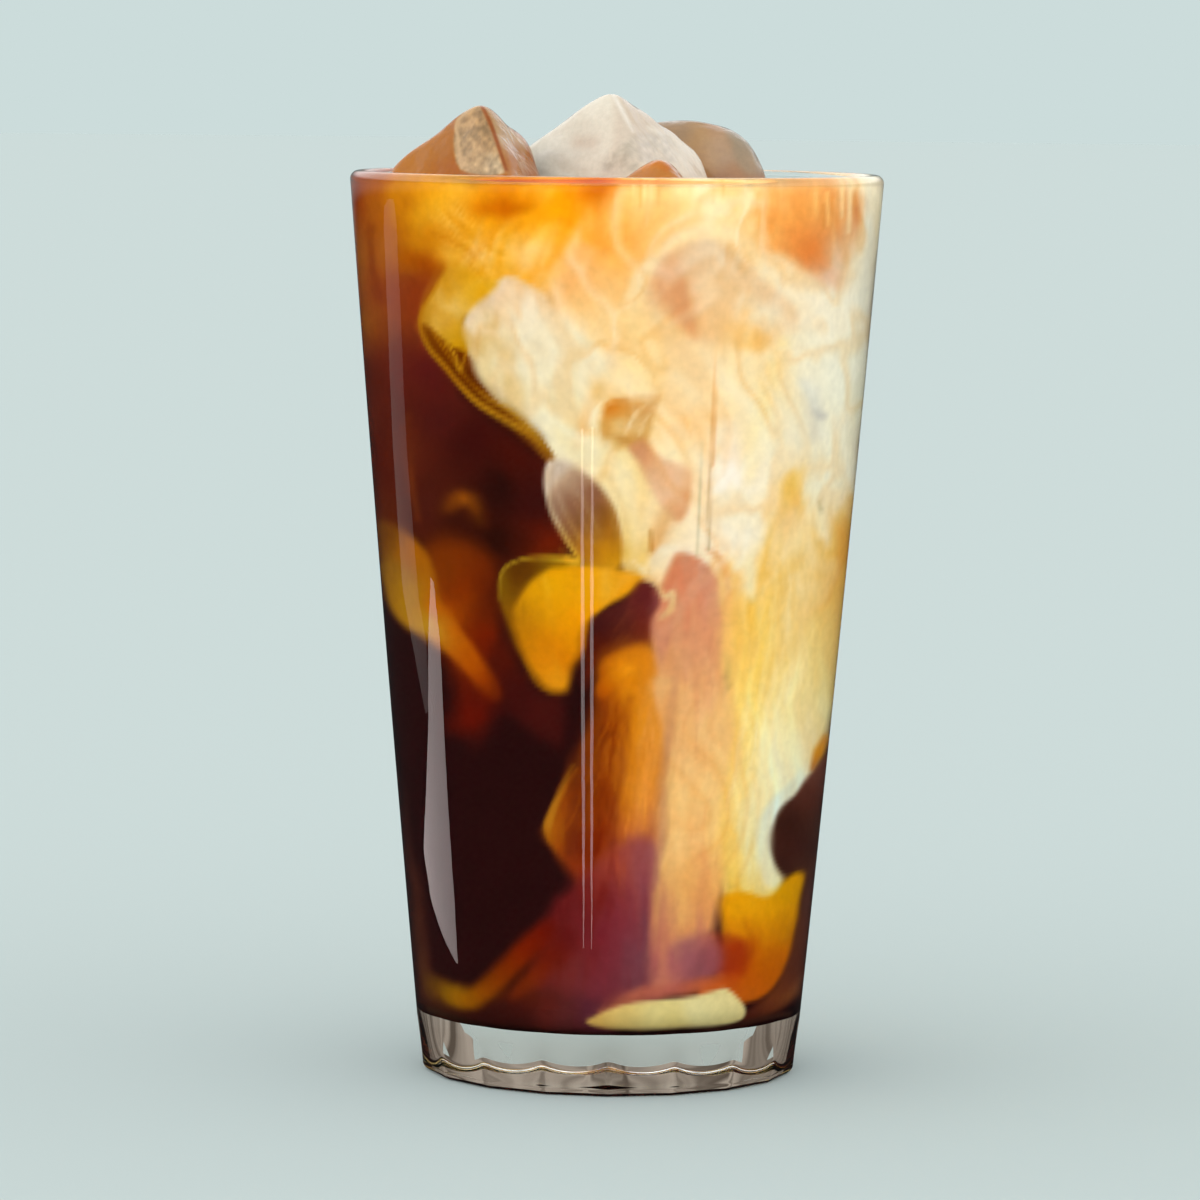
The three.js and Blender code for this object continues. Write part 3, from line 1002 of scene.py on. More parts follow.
        ((760, 580, "#F2B84C"), (755, 622, "#F5C04C"), (745, 632, "#F6C458"), (733, 602, "#EEB460"),
              (730, 642, "#F2BC68"),
         (740, 682, "#FAC868"), (760, 672, "#F8C45C"), (750, 702, "#FAD06C"), (770, 692, "#F6D488"),
               (781, 622, "#F4D690"),
         (800, 602, "#F2CE84"), (790, 682, "#FAE6AC"), (785, 722, "#F8E4AC"), (770, 742, "#F8E2A8"),
               (740, 752, "#FCDC90"),
         (725, 742, "#F8D088"), (815, 642, "#EDCC80"), (830, 602, "#EBBC68"), (838, 555, "#E6AE50"),
               (826, 682, "#EACD84"),
         (810, 702, "#F0DCA0"), (800, 742, "#F4E6BC"), (780, 772, "#F0E8C8"), (788, 485, "#F4CC6A"),
               (782, 515, "#EFBC74"),
         (802, 545, "#F4D490"), (820, 556, "#EAB858"), (735, 802, "#FCDC94"), (730, 832, "#FACC68"),
               (736, 862, "#FAC860"),
         (756, 822, "#F4E4B4"), (764, 842, "#E4E0BC"), (766, 872, "#E8E2B4"), (755, 882, "#F2DC98"),
               (742, 892, "#F4BE40")),
        6,
        flow=Flow.FALL,
    ),
    Plume("golden threads", ((766, 560), (760, 640), (748, 720), (736, 800), (734, 880)), (14, 16, 14,
          12, 10),
          ("#F0AE3C", "#F3B844", "#FAC85C", "#FBCC60", "#F6B840"), 7, 0.7, 0.45),
    Plume("pale threads", ((796, 540), (790, 640), (776, 740), (760, 830)), (16, 18, 18, 10),
          ("#FBE8BC", "#FBE8B8", "#F9EAC0", "#EFE8CC"), 8, 0.6, 0.45, gauge=6),
    Plume("right wall gold", ((852, 505), (843, 560), (836, 620), (828, 690)), (4, 9, 6, 4), ("#E4B058",
          "#E6AA48", "#E6B864", "#E8C880"), 6, 0.8),
    Plume("right white tongue", ((820, 480), (818, 520), (826, 545)), (8, 8, 4), ("#F2EAD4", "#F4EAD0",
          "#F6E4C0"), 6, 0.8),
    Plume("golden fold", ((800, 472), (791, 486), (783, 512)), (4, 7, 5), ("#F8DC94", "#F5CE6C",
          "#F0C070"), 6, 0.8),
    Plume("notch edge cream", ((808, 768), (794, 788), (772, 816), (766, 846), (772, 880)), (6, 8, 8, 8,
          8), ("#EEE0B8", "#E0DEC4", "#E0DCC4", "#E6E0BE", "#ECDEB0"), 4, warp=0.4),
    # Dark notch at the right wall
    Pool(
        "dark notch",
        ((836, 748), (818, 764), (806, 778), (796, 795), (785, 806), (777, 820), (773, 842), (776, 862),
              (786, 877), (800, 873),
         (814, 880), (830, 860), (840, 800)),
        ((818, 774, "#6A3A2E"), (812, 798, "#54281E"), (792, 822, "#35170F"), (800, 842, "#3C1B16"),
              (785, 860, "#381A14"),
         (808, 868, "#4A281E"), (820, 830, "#4A2A20")),
        3,
        warp=0.3,
    ),
    Plume("notch amber", ((826, 738), (819, 752), (812, 768)), (4, 5, 2), ("#D89038", "#D88A18",
          "#B06020"), 3.5, 0.95, warp=0.3),
    # Amber lobe at the right foot
    Pool(
        "amber lobe",
        ((722, 900), (738, 893), (770, 898), (788, 880), (800, 872), (808, 878), (802, 898), (798, 930),
              (792, 960), (776, 992),
         (752, 1004), (720, 1000), (700, 998), (705, 985), (722, 972), (724, 940)),
        ((735, 905, "#EFA408"), (750, 910, "#F2AC10"), (765, 914, "#EDA408"), (795, 882, "#DC9A04"),
              (785, 893, "#D89804"),
         (730, 926, "#E08C0C"), (745, 936, "#D88008"), (770, 936, "#DC8C08"), (785, 932, "#C07806"),
               (760, 956, "#C25A04"),
         (780, 952, "#C05C04"), (755, 976, "#C05004"), (770, 972, "#B45404"), (748, 992, "#BC5A10"),
               (733, 986, "#C4520C"),
         (712, 992, "#C45A24")),
        4,
        warp=0.5,
    ),
    Plume("lobe threads low", ((740, 900), (760, 930), (764, 970), (748, 996)), (12, 14, 12, 8),
          ("#F6B828", "#E89808", "#C86408", "#B85008"), 6, 0.5, 0.4, gauge=6),
    Pool(
        "red heart",
        ((708, 942), (724, 936), (746, 940), (754, 958), (744, 978), (720, 978), (706, 968)),
        ((718, 958, "#8A2A2C"), (738, 962, "#9A2C0C"), (732, 948, "#A43408"), (745, 970, "#A83806"),
              (728, 971, "#982A10")),
        6,
        0.95,
    ),
    Plume("lobe hook", ((746, 922), (755, 944), (752, 962)), (2, 3, 2), ("#C06C08", "#A84A04",
          "#A44004"), 3.5, 0.7),
    Pool(
        "purple patch",
        ((672, 950), (688, 940), (710, 936), (722, 950), (720, 975), (700, 986), (676, 982)),
        ((690, 952, "#9A5A66"), (706, 960, "#8E4A54"), (690, 975, "#A65A60"), (710, 944, "#A45458")),
        7,
        0.9,
    ),
    # Dark strip at the right foot
    Plume("right foot shade", ((824, 850), (812, 890), (806, 930), (798, 965), (782, 1000), (756,
          1020)), (6, 6, 8, 9, 10, 9),
          ("#4A281E", "#54302A", "#5A2E20", "#582A1C", "#6A3218", "#502014"), 4.5, warp=0.3),
    Plume("right foot light", ((803, 980), (792, 1000), (775, 1012)), (3, 5, 5), ("#8A5A3A", "#7E441E",
          "#6A3018"), 5, 0.7),
    # Bottom of the glass
    Pool(
        "bottom shade",
        ((420, 985), (470, 1010), (520, 990), (600, 1002), (610, 1042), (500, 1042), (425, 1020)),
        ((430, 1005, "#4A2414"), (495, 1012, "#38120E"), (545, 1010, "#5A1C14"), (560, 1018, "#5A2424"),
              (595, 1012, "#5A2430")),
        8,
    ),
    Plume("left wall light low", ((404, 780), (412, 880), (420, 950), (428, 992)), (3, 5, 6, 6),
          ("#2A100E", "#4A2216", "#522A18", "#5C3418"), 5, 0.8),
    Plume("left foot amber", ((432, 985), (452, 996), (475, 998), (500, 975), (522, 952), (545, 932)),
          (8, 11, 11, 11, 11, 10),
          ("#5E380E", "#8E5A08", "#8C4A04", "#802E02", "#7C1E02", "#661206"), 7, warp=0.6),
    Plume("left foot gold", ((446, 992), (458, 1000), (470, 1004)), (5, 7, 5), ("#8A5A08", "#9E6206",
          "#945204"), 5, 0.8),
    Plume("foot red", ((512, 998), (525, 984), (545, 962), (565, 940)), (8, 9, 10, 12), ("#6E2406",
          "#822A04", "#701A08", "#621412"), 8, 0.85),
    Plume("foot dark", ((494, 1010), (515, 1012), (530, 1002)), (8, 7, 5), ("#38120C", "#42120C",
          "#541A0A"), 6, 0.8),
    Plume("orange over the strip", ((604, 1014), (640, 998), (676, 990), (705, 986), (735, 984)), (4, 7,
          7, 7, 7),
          ("#A85C40", "#BE644A", "#BE6252", "#CC6234", "#C04E10"), 5, 0.9),
    Pool(
        "cream strip",
        ((586, 1024), (600, 1016), (620, 1008), (650, 1003), (690, 998), (715, 992), (729, 990), (741,
              1000), (749, 1012),
         (746, 1022), (725, 1027), (690, 1030), (640, 1033), (605, 1031)),
        ((600, 1023, "#DDAE58"), (630, 1015, "#E2C070"), (660, 1015, "#E8D48C"), (700, 1010, "#EADCA0"),
              (730, 1005, "#EAD898"),
         (740, 1018, "#E4D08C"), (680, 1026, "#E2CA7C")),
        2.5,
        warp=0.2,
    ),
    Plume("bottom line", ((424, 1010), (470, 1026), (520, 1034), (612, 1040), (700, 1036), (795, 1014)),
          (3, 3, 3, 3, 3),
          ("#4A2C1C", "#33140F", "#3C1812", "#44201A", "#4C281C"), 2.5, 0.9, warp=0.1),
    # Wisps round the dome
    Plume("wisp over dome", ((652, 566), (662, 552), (676, 548), (690, 552), (706, 560), (716, 574)),
          (4, 6, 4, 2, 2.5, 2),
          ("#F0DCBC", "#F6E8CC", "#F6E6CC", "#F4E4CC", "#F2DCB8", "#ECC090"), 2.5, 0.9, warp=0.35),
    Plume("wisp curl", ((644, 577), (655, 584), (664, 598), (672, 594), (670, 610), (660, 619)), (1.5,
          2, 3, 3, 4, 2.5),
          ("#F0CC88", "#EBC694", "#E6C088", "#E8C490", "#E2B47C", "#D8A878"), 2.2, 0.95, warp=0.35),
    Plume("wisp dark", ((654, 592), (655, 604), (650, 612)), (3, 4, 4), ("#8A4A3C", "#7A383A",
          "#6E302C"), 3.5, 0.8, warp=0.4),
    Plume("wisp knot", ((632, 562), (642, 572), (646, 580)), (1.5, 2.5, 1.5), ("#F0CC88", "#F2D8A0",
          "#E8C080"), 2, 0.9, warp=0.35),
    Plume("wisp knot two", ((660, 556), (650, 570), (646, 580)), (3, 2, 1.5), ("#F3E0BC", "#F0D6A8",
          "#E8C080"), 2, 0.9, warp=0.35),
    Plume("dome right rim", ((708, 550), (720, 560), (727, 585), (728, 620), (730, 660)), (3, 4, 3, 3,
          3),
          ("#E8B080", "#E6A468", "#EAA866", "#EFB068", "#F2B864"), 3, 0.8, warp=0.4),
    # Milk point between the dome and the right curtain
    Pool(
        "milk point",
        ((706, 500), (740, 490), (764, 520), (763, 545), (755, 565), (755, 600), (748, 598), (736, 572),
              (722, 552), (706, 540)),
        ((728, 530, "#FDF0DC"), (745, 540, "#F8EEDC"), (740, 520, "#F4E4C4"), (745, 575, "#F8E8BE"),
              (720, 545, "#F6D4AA"),
         (752, 594, "#F4DCA0")),
        5,
        warp=0.5,
    ),
    # Drips under the rim, and fine upright lines that are painted reflections of the glass's front wall
    Plume("drip one", ((634, 184), (635, 212)), (2.4, 1.2), ("#FCD890", "#FBC878"), 1.8, 0.8, warp=0.2),
    Plume("drip two", ((645, 184), (646, 224)), (2, 1), ("#FFE2A8", "#FDD090"), 1.8, 0.8, warp=0.2),
    Plume("drip three", ((652, 184), (652, 218)), (2, 1), ("#FFE6B0", "#FED898"), 1.8, 0.8, warp=0.2),
    Plume("drip four", ((659, 184), (658, 206)), (2.2, 1), ("#E8AC5C", "#F6C880"), 1.8, 0.8, warp=0.2),
    Plume("drip five", ((640, 186), (640, 206)), (1.4, 1), ("#EDA448", "#F4B460"), 1.8, 0.7, warp=0.2),
    Plume("drip six", ((710, 184), (711, 204)), (1.8, 1), ("#E8BC74", "#F4D090"), 1.8, 0.8, warp=0.2),
    Plume("drip seven", ((721, 184), (722, 202)), (2, 1), ("#F0BC70", "#F8D494"), 1.8, 0.7, warp=0.2),
    # painted reflections: three thin upright lines that stand for reflections in the glass's front wall
    Plume("painted reflection line one", ((713, 345), (713, 400), (711, 466)), (1.6, 2.2, 2), ("#FAD49C", "#F0AC60",
          "#DDA068"), 1.8, 0.8, warp=0.1),
    Plume("painted reflection line two", ((709, 466), (708, 550)), (1.6, 1.4), ("#D0AC84", "#C6B088"), 1.6, 0.8,
          warp=0.1),
    Plume("painted reflection line three", ((700, 440), (699, 500), (697, 556)), (1.2, 1.4, 1.2), ("#E8D6B0",
          "#CFC6A8", "#D8C8A0"), 1.6, 0.8, warp=0.1),
    # Grey dimples where ice lies behind the milk
    Plume("dimple one", ((802, 384), (810, 396), (814, 436)), (6, 8, 6), ("#E6E2D8", "#E0DCD2",
          "#E0DCD2"), 9, 0.85, warp=0.4),
    Plume("dimple two", ((812, 410), (820, 416)), (4, 4), ("#D8D2C8", "#C4BEB8"), 5, 0.85, warp=0.3),
    Plume("dimple three", ((817, 502), (819, 510)), (1.6, 2.4), ("#CFC29C", "#C8B890"), 2.5, 0.85,
          warp=0.2),
)

LEFT_FROST = (
    Pool("amber side", ((392, 172), (430, 134), (456, 118), (462, 172)),
         ((412, 160, "#C07A14"), (430, 148, "#BE7A1E"), (446, 140, "#B87838"), (450, 162, "#B0640C")),
               3),
    Pool("top facet", ((480, 102), (452, 120), (458, 130), (482, 116)),
         ((470, 112, "#BC8258"), (460, 120, "#B47A50")), 2),
    Pool("frosty face", ((480, 106), (458, 120), (460, 170), (506, 170), (492, 132)),
         ((474, 120, "#B99878"), (468, 140, "#C0A488"), (474, 158, "#C8AE92"), (488, 148, "#A8896C"),
          (495, 162, "#D2C4B4")), 2, streak=0.16, flow=Flow.FROST),
    Pool("right face", ((482, 104), (520, 136), (527, 150), (524, 172), (506, 172), (492, 132)),
         ((496, 122, "#B89068"), (508, 132, "#C4A684"), (518, 152, "#B4703A"), (510, 162, "#B87C4C"),
          (503, 142, "#C6AC90")), 2),
    Plume("front edge", ((481, 105), (490, 124), (497, 142), (506, 168)), (1.6, 2, 2, 1.6), ("#A05A2C",
          "#9C5A34"), 1.5),
    Plume("left edge", ((479, 106), (458, 121), (459, 140), (461, 168)), (1, 1.4, 1.4, 1.2), ("#D6B494",
          "#D8BCA0"), 1.5),
)
CENTRE_FROST_HIGHLIGHT_AND_SHADE = (
    Pool("left faces", ((518, 174), (545, 126), (610, 88), (604, 172)),
         ((560, 140, "#EFEAE2"), (596, 104, "#F2ECE2"), (575, 120, "#E9E2D6"), (535, 160, "#E9E7E0"),
          (575, 162, "#EBE2D6"), (598, 135, "#F0E9DE")), 6),
    # painted shade: the right faces are darker than the left ones, which face the light
    Pool("right faces", ((614, 92), (650, 122), (690, 160), (680, 174), (640, 140), (624, 112)),
         ((634, 114, "#E2D2C0"), (655, 132, "#E0D2C2"), (675, 152, "#EBE4DA")), 4),
    Plume("dimple", ((578, 141), (590, 142)), (6, 6), ("#D3BAA8", "#D8C2B2"), 8, 0.5),
    # painted highlights: bright lines along the two ridges
    Plume("ridge", ((612, 92), (624, 112), (634, 132)), (1.5, 2.4, 1.5), ("#FBF8F3", "#F6F1E9"), 2),
    Plume("far ridge", ((650, 128), (680, 144), (704, 166)), (2, 4, 5), ("#F0EAE0", "#EDE5DA"), 4),
    Pool("frost patch", ((606, 158), (630, 140), (664, 136), (676, 150), (660, 172), (606, 172)),
         ((620, 160, "#CFC4B6"), (645, 150, "#D6CEC4"), (660, 158, "#E2DACE")), 5, 0.8, streak=0.09,
               flow=Flow.FROST),
    Plume("low sparkle", ((530, 158), (548, 152), (562, 158)), (2, 3, 2), ("#F7F5F0", "#F2EEE6"), 3),
)
RIGHT_MELT_AND_SHADE = (
    Pool("tan side", ((640, 175), (656, 122), (700, 118), (716, 175)),
         ((672, 126, "#A89078"), (690, 140, "#BE9C74"), (700, 158, "#BE966C"), (682, 158, "#B68E66")),
               6),
    Pool("pale heart", ((706, 140), (728, 136), (738, 160), (712, 170)),
         ((718, 150, "#CBB49C"), (730, 158, "#C8B8A6")), 12, 0.6),
    Pool("grey side", ((728, 126), (752, 138), (766, 170), (744, 172)),
         ((742, 142, "#A99C8A"), (752, 158, "#B2A28C")), 6),
    # painted shade: a dark line down the right edge
    Plume("dark edge", ((722, 124), (746, 134), (757, 150), (768, 172)), (1.5, 2.5, 3, 3), ("#90806C",
          "#6C6458"), 2.5),
    Plume("grey crown", ((664, 122), (684, 119), (704, 121)), (2, 2.4, 2), ("#9C8C7A", "#A08C74"), 2.5),
)
FRONT_MELT_AND_HIGHLIGHT = (
    # painted highlight: the top is paler where light falls on it
    Pool("bright top", ((628, 152), (662, 152), (664, 164), (632, 164)),
         ((640, 157, "#F0D4A8"), (656, 160, "#E6B878")), 4),
    Plume("amber heart", ((642, 166), (656, 163), (668, 168)), (4, 5, 4), ("#D88A34", "#C8782C"), 3),
)


# Camera and glass shape
@dataclass(frozen=True)
class StudioCamera:
    """The place the picture is taken from: millimetres, degrees and pixels of the square image."""

    aside: float = -2.12
    distance: float = 1006.4
    height: float = 168.6
    pitch: float = 5.105
    roll: float = 0.585
    focal_px: float = 6047.9
    image_px: float = 1200.0
    sensor_mm: float = 36.0

    def axes(self) -> tuple[Array, Array, Array]:
        """The camera's right, up and forward directions, rolled about its view."""
        tilt = math.radians(self.pitch)
        turn = math.radians(self.roll)
        forward = np.array([0.0, math.cos(tilt), -math.sin(tilt)])
        level = np.array([1.0, 0.0, 0.0])
        above = np.array([0.0, math.sin(tilt), math.cos(tilt)])
        right = level * math.cos(turn) + above * math.sin(turn)
        up = above * math.cos(turn) - level * math.sin(turn)
        return right, up, forward

    def place(self) -> Array:
        """Where the camera stands, in millimetres."""
        return np.array([self.aside, -self.distance, self.height])

    def project(self, points: Array) -> tuple[Array, Array]:
        """Where points show in the image.

        Args:
            points: Points in millimetres, the last axis of three.

        Returns:
            Their pixels across and down.
        """
        right, up, forward = self.axes()
        ray = points - self.place()
        depth = ray @ forward
        across = self.image_px / 2 + self.focal_px * (ray @ right) / depth
        down = self.image_px / 2 - self.focal_px * (ray @ up) / depth
        return across, down

    def build(self) -> bpy.types.Object:
        """Makes the camera and sets it as the scene's."""
        right, up, forward = self.axes()
        data = bpy.data.cameras.new("photo_camera")
        data.sensor_width = self.sensor_mm
        data.sensor_fit = "HORIZONTAL"
        data.lens = self.focal_px * self.sensor_mm / self.image_px
        data.clip_end = 100.0
        camera = bpy.data.objects.new("photo_camera", data)
        turned = Matrix(np.stack([right, up, -forward], axis=1).tolist()).to_4x4()
        camera.matrix_world = Matrix.Translation((self.place() * MM).tolist()) @ turned
        bpy.context.scene.collection.objects.link(camera)
        bpy.context.scene.camera = camera
        return camera


@dataclass(frozen=True)
class TumblerShape:
    """The tumbler's driving sizes in millimetres, as in the solids."""

    height: float = 150.0
    rim_radius: float = 44.4
    foot_radius: float = 31.3
    bulge: float = 0.3
    rim_wall: float = 2.8
    floor_wall: float = 4.2
    floor_height: float = 10.0
    floor_fillet: float = 5.0
    heel_round: float = 1.6
    punt_radius: float = 24.0
    punt_depth: float = 1.4
    facets: int = 18
    facet_top: float = 9.0
    glass_index: float = 1.5

    def outer(self, z: Array) -> Array:
        """Outside radius at a height: a cone with a slight belly."""
        t = z / self.height
        return self.foot_radius + (self.rim_radius - self.foot_radius) * t + self.bulge * 4 * t * (1 - t)

    def inner(self, z: Array) -> Array:
        """Inside radius at a height: the outside less a wall that thins towards the rim."""
        return self.outer(z) - (self.floor_wall + (self.rim_wall - self.floor_wall) * z / self.height)

    def seen(self, angle: Array, z: Array, camera: StudioCamera) -> tuple[Array, Array, Array]:
        """Where a point of the drink at the wall shows in the image.

        A ray that meets the outside at s of its radius bends by asin(s) - asin(s / n) and meets the
        inside wall further round. The points that the camera can't see are folded back over the
        silhouette, so that the pattern goes on round the back without a seam.

        Args:
            angle: Angles round the axis in radians, 0 at the shown side.
            z: Heights in millimetres.
            camera: The camera.

        Returns:
            Pixels across and down, and how far round the back each point is, from 0 to 1.
        """
        s = np.linspace(-1.0, 1.0, 2001)
        ratio = self.outer(np.array(75.0)) / self.inner(np.array(75.0))
        met = np.arcsin(s) - np.arcsin(s / self.glass_index) + np.arcsin(s * ratio / self.glass_index)
        limit = met[-1]
        size = np.abs(angle)
        folded = np.where(size > limit, limit - (size - limit) * limit / (math.pi - limit), size)
        share = np.interp(np.sign(angle) * folded, met, s)
        radius = self.outer(z)
        point = np.stack([radius * share, -radius * np.sqrt(1 - share**2), z], axis=-1)
        across, down = camera.project(point)
        return across, down, np.clip((size - limit) / (math.pi - limit), 0.0, 1.0)


# Finishes
@dataclass(frozen=True)
class TumblerGlass:
    """Pressed soda-lime glass, fire polished: clear, with slight ripples, its thick foot tinted grey as
    painted shade.
    """

    colour: str = "#F6FBF9"
    # painted shade: the grey tint that darkens the foot
    foot_shade_colour: str = "#DDD8D2"
    foot_low: float = 8.0
    foot_high: float = 13.0
    index: float = 1.5
    specular: float = 0.4
    ripple_mm: float = 14.0

    def build(self) -> bpy.types.Material:
        """Makes the material: a clear dielectric whose surface waves by hundredths of a millimetre."""
        material, tree = new_tree("soda_lime_glass")
        place = add_node(tree, "ShaderNodeTexCoord")
        ripple = add_node(
            tree,
            "ShaderNodeTexNoise",
            {"Scale": 1.0 / (self.ripple_mm * MM), "Detail": 1.0},
            {"Vector": place.outputs["Object"]},
        )
        bump = add_node(
            tree, "ShaderNodeBump", {"Strength": 0.04, "Distance": 0.001},
                  {"Height": ripple.outputs["Fac"]}
        )
        # painted shade: below foot_low the glass takes the grey foot tint, blending to clear at
        # foot_high
        split = add_node(tree, "ShaderNodeSeparateXYZ", None, {"Vector": place.outputs["Object"]})
        above = add_node(
            tree,
            "ShaderNodeMapRange",
            {"From Min": self.foot_low * MM, "From Max": self.foot_high * MM},
            {"Value": split.outputs["Z"]},
        )
        colour = add_node(
            tree,
            "ShaderNodeMix",
            {6: linear(self.foot_shade_colour), 7: linear(self.colour)},
            {0: above.outputs["Result"]},
            data_type="RGBA",
        )
        body = add_node(
            tree,
            "ShaderNodeBsdfPrincipled",
            {
                "Roughness": 0.0,
                "IOR": self.index,
                "Transmission Weight": 1.0,
                "Specular IOR Level": self.specular,
            },
            {"Base Color": colour.outputs[2], "Normal": bump.outputs["Normal"]},
        )
        add_node(tree, "ShaderNodeOutputMaterial", None, {"Surface": body.outputs["BSDF"]})
        return material


@dataclass(frozen=True)
class LatteFinish:
    """Coffee with milk clouding into it: the cloud colours come from the piece, with fine grain."""

    name: str
    specular: float
    roughness: float
    layer: str = "latte_colour"
    grain_mm: float = 1.6

    def build(self) -> bpy.types.Material:
        """Makes the material: the painted colour, varied a little by a fine cloudy grain."""
        material, tree = new_tree(self.name)
        place = add_node(tree, "ShaderNodeTexCoord")
        paint = add_node(tree, "ShaderNodeAttribute", attribute_name=self.layer)
        grain = add_node(
            tree,
            "ShaderNodeTexNoise",
            {"Scale": 1.0 / (self.grain_mm * MM), "Detail": 3.0},
            {"Vector": place.outputs["Object"]},
        )
        spread = add_node(
            tree,
            "ShaderNodeMapRange",
            {"From Min": 0.3, "From Max": 0.7, "To Min": 0.95, "To Max": 1.05},
            {"Value": grain.outputs["Fac"]},
        )
        colour = add_node(
            tree,
            "ShaderNodeMix",
            {0: 1.0},
            {6: paint.outputs["Color"], 7: spread.outputs["Result"]},
            data_type="RGBA",
            blend_type="MULTIPLY",
        )
        body = add_node(
            tree,
            "ShaderNodeBsdfPrincipled",
            {"Roughness": self.roughness, "Specular IOR Level": self.specular, "IOR": 1.34},
            {"Base Color": colour.outputs[2]},
        )
        add_node(tree, "ShaderNodeOutputMaterial", None, {"Surface": body.outputs["BSDF"]})
        return material


class IceKind(Enum):
    """The finishes of the ice: how much light goes through it and how rough its face is."""

    COFFEE = ("coffee_ice", 0.25, 0.06, 0.06)
    CLOUDY = ("cloudy_ice", 0.22, 0.12, 0.06)
    MELTED = ("melted_ice", 0.28, 0.05, 0.04)


@dataclass(frozen=True)
class IceFinish:
    """Ice frozen in a tray and wet: part clear and part clouded, with fine frost in its face."""

    kind: IceKind
    frost_mm: float = 0.9
    melt_mm: float = 5.0

    def build(self) -> bpy.types.Material:
        """Makes the material: painted colour, half clear, with frost and melt in its relief."""
        name, clear, rough, relief = self.kind.value
        material, tree = new_tree(name)
        place = add_node(tree, "ShaderNodeTexCoord")
        paint = add_node(tree, "ShaderNodeAttribute", attribute_name="ice_colour")
        frost = add_node(
            tree,
            "ShaderNodeTexNoise",
            {"Scale": 1.0 / (self.frost_mm * MM), "Detail": 4.0, "Roughness": 0.7},
            {"Vector": place.outputs["Object"]},
        )
        melt = add_node(
            tree,
            "ShaderNodeTexNoise",
            {"Scale": 1.0 / (self.melt_mm * MM), "Detail": 2.0},
            {"Vector": place.outputs["Object"]},
        )
        fine = add_node(
            tree,
            "ShaderNodeBump",
            {"Strength": relief, "Distance": 0.0003},
            {"Height": frost.outputs["Fac"]},
        )
        bump = add_node(
            tree,
            "ShaderNodeBump",
            {"Strength": 0.5, "Distance": 0.0015},
            {"Height": melt.outputs["Fac"], "Normal": fine.outputs["Normal"]},
        )
        spread = add_node(
            tree,
            "ShaderNodeMapRange",
            {"From Min": 0.3, "From Max": 0.7, "To Min": 0.43, "To Max": 0.49},
            {"Value": frost.outputs["Fac"]},
        )
        colour = add_node(
            tree,
            "ShaderNodeMix",
            {0: 1.0},
            {6: paint.outputs["Color"], 7: spread.outputs["Result"]},
            data_type="RGBA",
            blend_type="MULTIPLY",
        )
        body = add_node(
            tree,
            "ShaderNodeBsdfPrincipled",
            {"Roughness": rough, "IOR": 1.31, "Transmission Weight": clear},
            {"Base Color": colour.outputs[2], "Normal": bump.outputs["Normal"]},
        )
        add_node(tree, "ShaderNodeOutputMaterial", None, {"Surface": body.outputs["BSDF"]})
        return material


# Pieces
@dataclass(frozen=True)
class Tumbler:
    """The glass: a turned profile with a hollow foot, a rounded rim and flats pressed round its foot."""

    shape: TumblerShape
    columns: int = 288
    wall_steps: int = 36
    finish: TumblerGlass = TumblerGlass()

    def profile(self) -> Array:
        """Radius and height from beside the axis under the foot, over the rim and down to the floor."""
        s = self.shape
        punt = np.linspace(0.04, 1.0, 10)
        hollow = np.stack([s.punt_radius * punt, s.punt_depth * (1 - punt**2)], axis=1)
        heel_centre = (float(s.outer(np.array(s.heel_round))) - s.heel_round, s.heel_round)
        heel = arc(heel_centre, s.heel_round, -90, 0, 8)
        bead = s.rim_wall / 2
        top = s.height - bead
        low = np.linspace(s.heel_round, s.facet_top, 9)[1:]
        side = np.concatenate([low, np.linspace(s.facet_top, top, self.wall_steps)[1:-1]])
        outside = np.stack([s.outer(side), side], axis=1)
        rim = arc((float(s.outer(np.array(top))) - bead, top), bead, 0, 180, 14)
        fillet_top = s.floor_height + s.floor_fillet
        down = np.linspace(top, fillet_top, self.wall_steps)[1:-1]
        inside = np.stack([s.inner(down), down], axis=1)
        corner = float(s.inner(np.array(fillet_top))) - s.floor_fillet
        fillet = arc((corner, fillet_top), s.floor_fillet, 0, -90, 10)
        floor = np.stack([corner * np.linspace(0.8, 0.05, 6), np.full(6, s.floor_height)], axis=1)
        return np.concatenate([hollow, heel, outside, rim, inside, fillet, floor])

    def press_facets(self, rows: Array) -> Array:
        """Draws the foot in to flats: cos(half) / cos(offset) of the radius, fading out upwards."""
        s = self.shape
        radius = np.hypot(rows[..., 0], rows[..., 1])
        angle = np.arctan2(rows[..., 1], rows[..., 0])
        half = math.pi / s.facets
        offset = (angle + half) % (2 * half) - half
        flat = math.cos(half) / np.cos(offset)
        share = np.clip(1 - rows[..., 2] / s.facet_top, 0, 1) * (radius > s.punt_radius + 0.5)
        scale = 1 + (flat - 1) * share
        return rows * np.stack([scale, scale, np.ones_like(scale)], axis=-1)

    def build(self) -> bpy.types.Object:
        """Makes the glass in place of its solid."""
        angles = np.linspace(-math.pi, math.pi, self.columns, endpoint=False)
        rows = self.press_facets(turned_rows(self.profile(), angles))
        piece = turned_piece("tumbler", rows, self.shape.punt_depth, self.shape.floor_height)
        piece.data.materials.append(self.finish.build())
        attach(piece, "root")
        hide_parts("glass")
        return piece


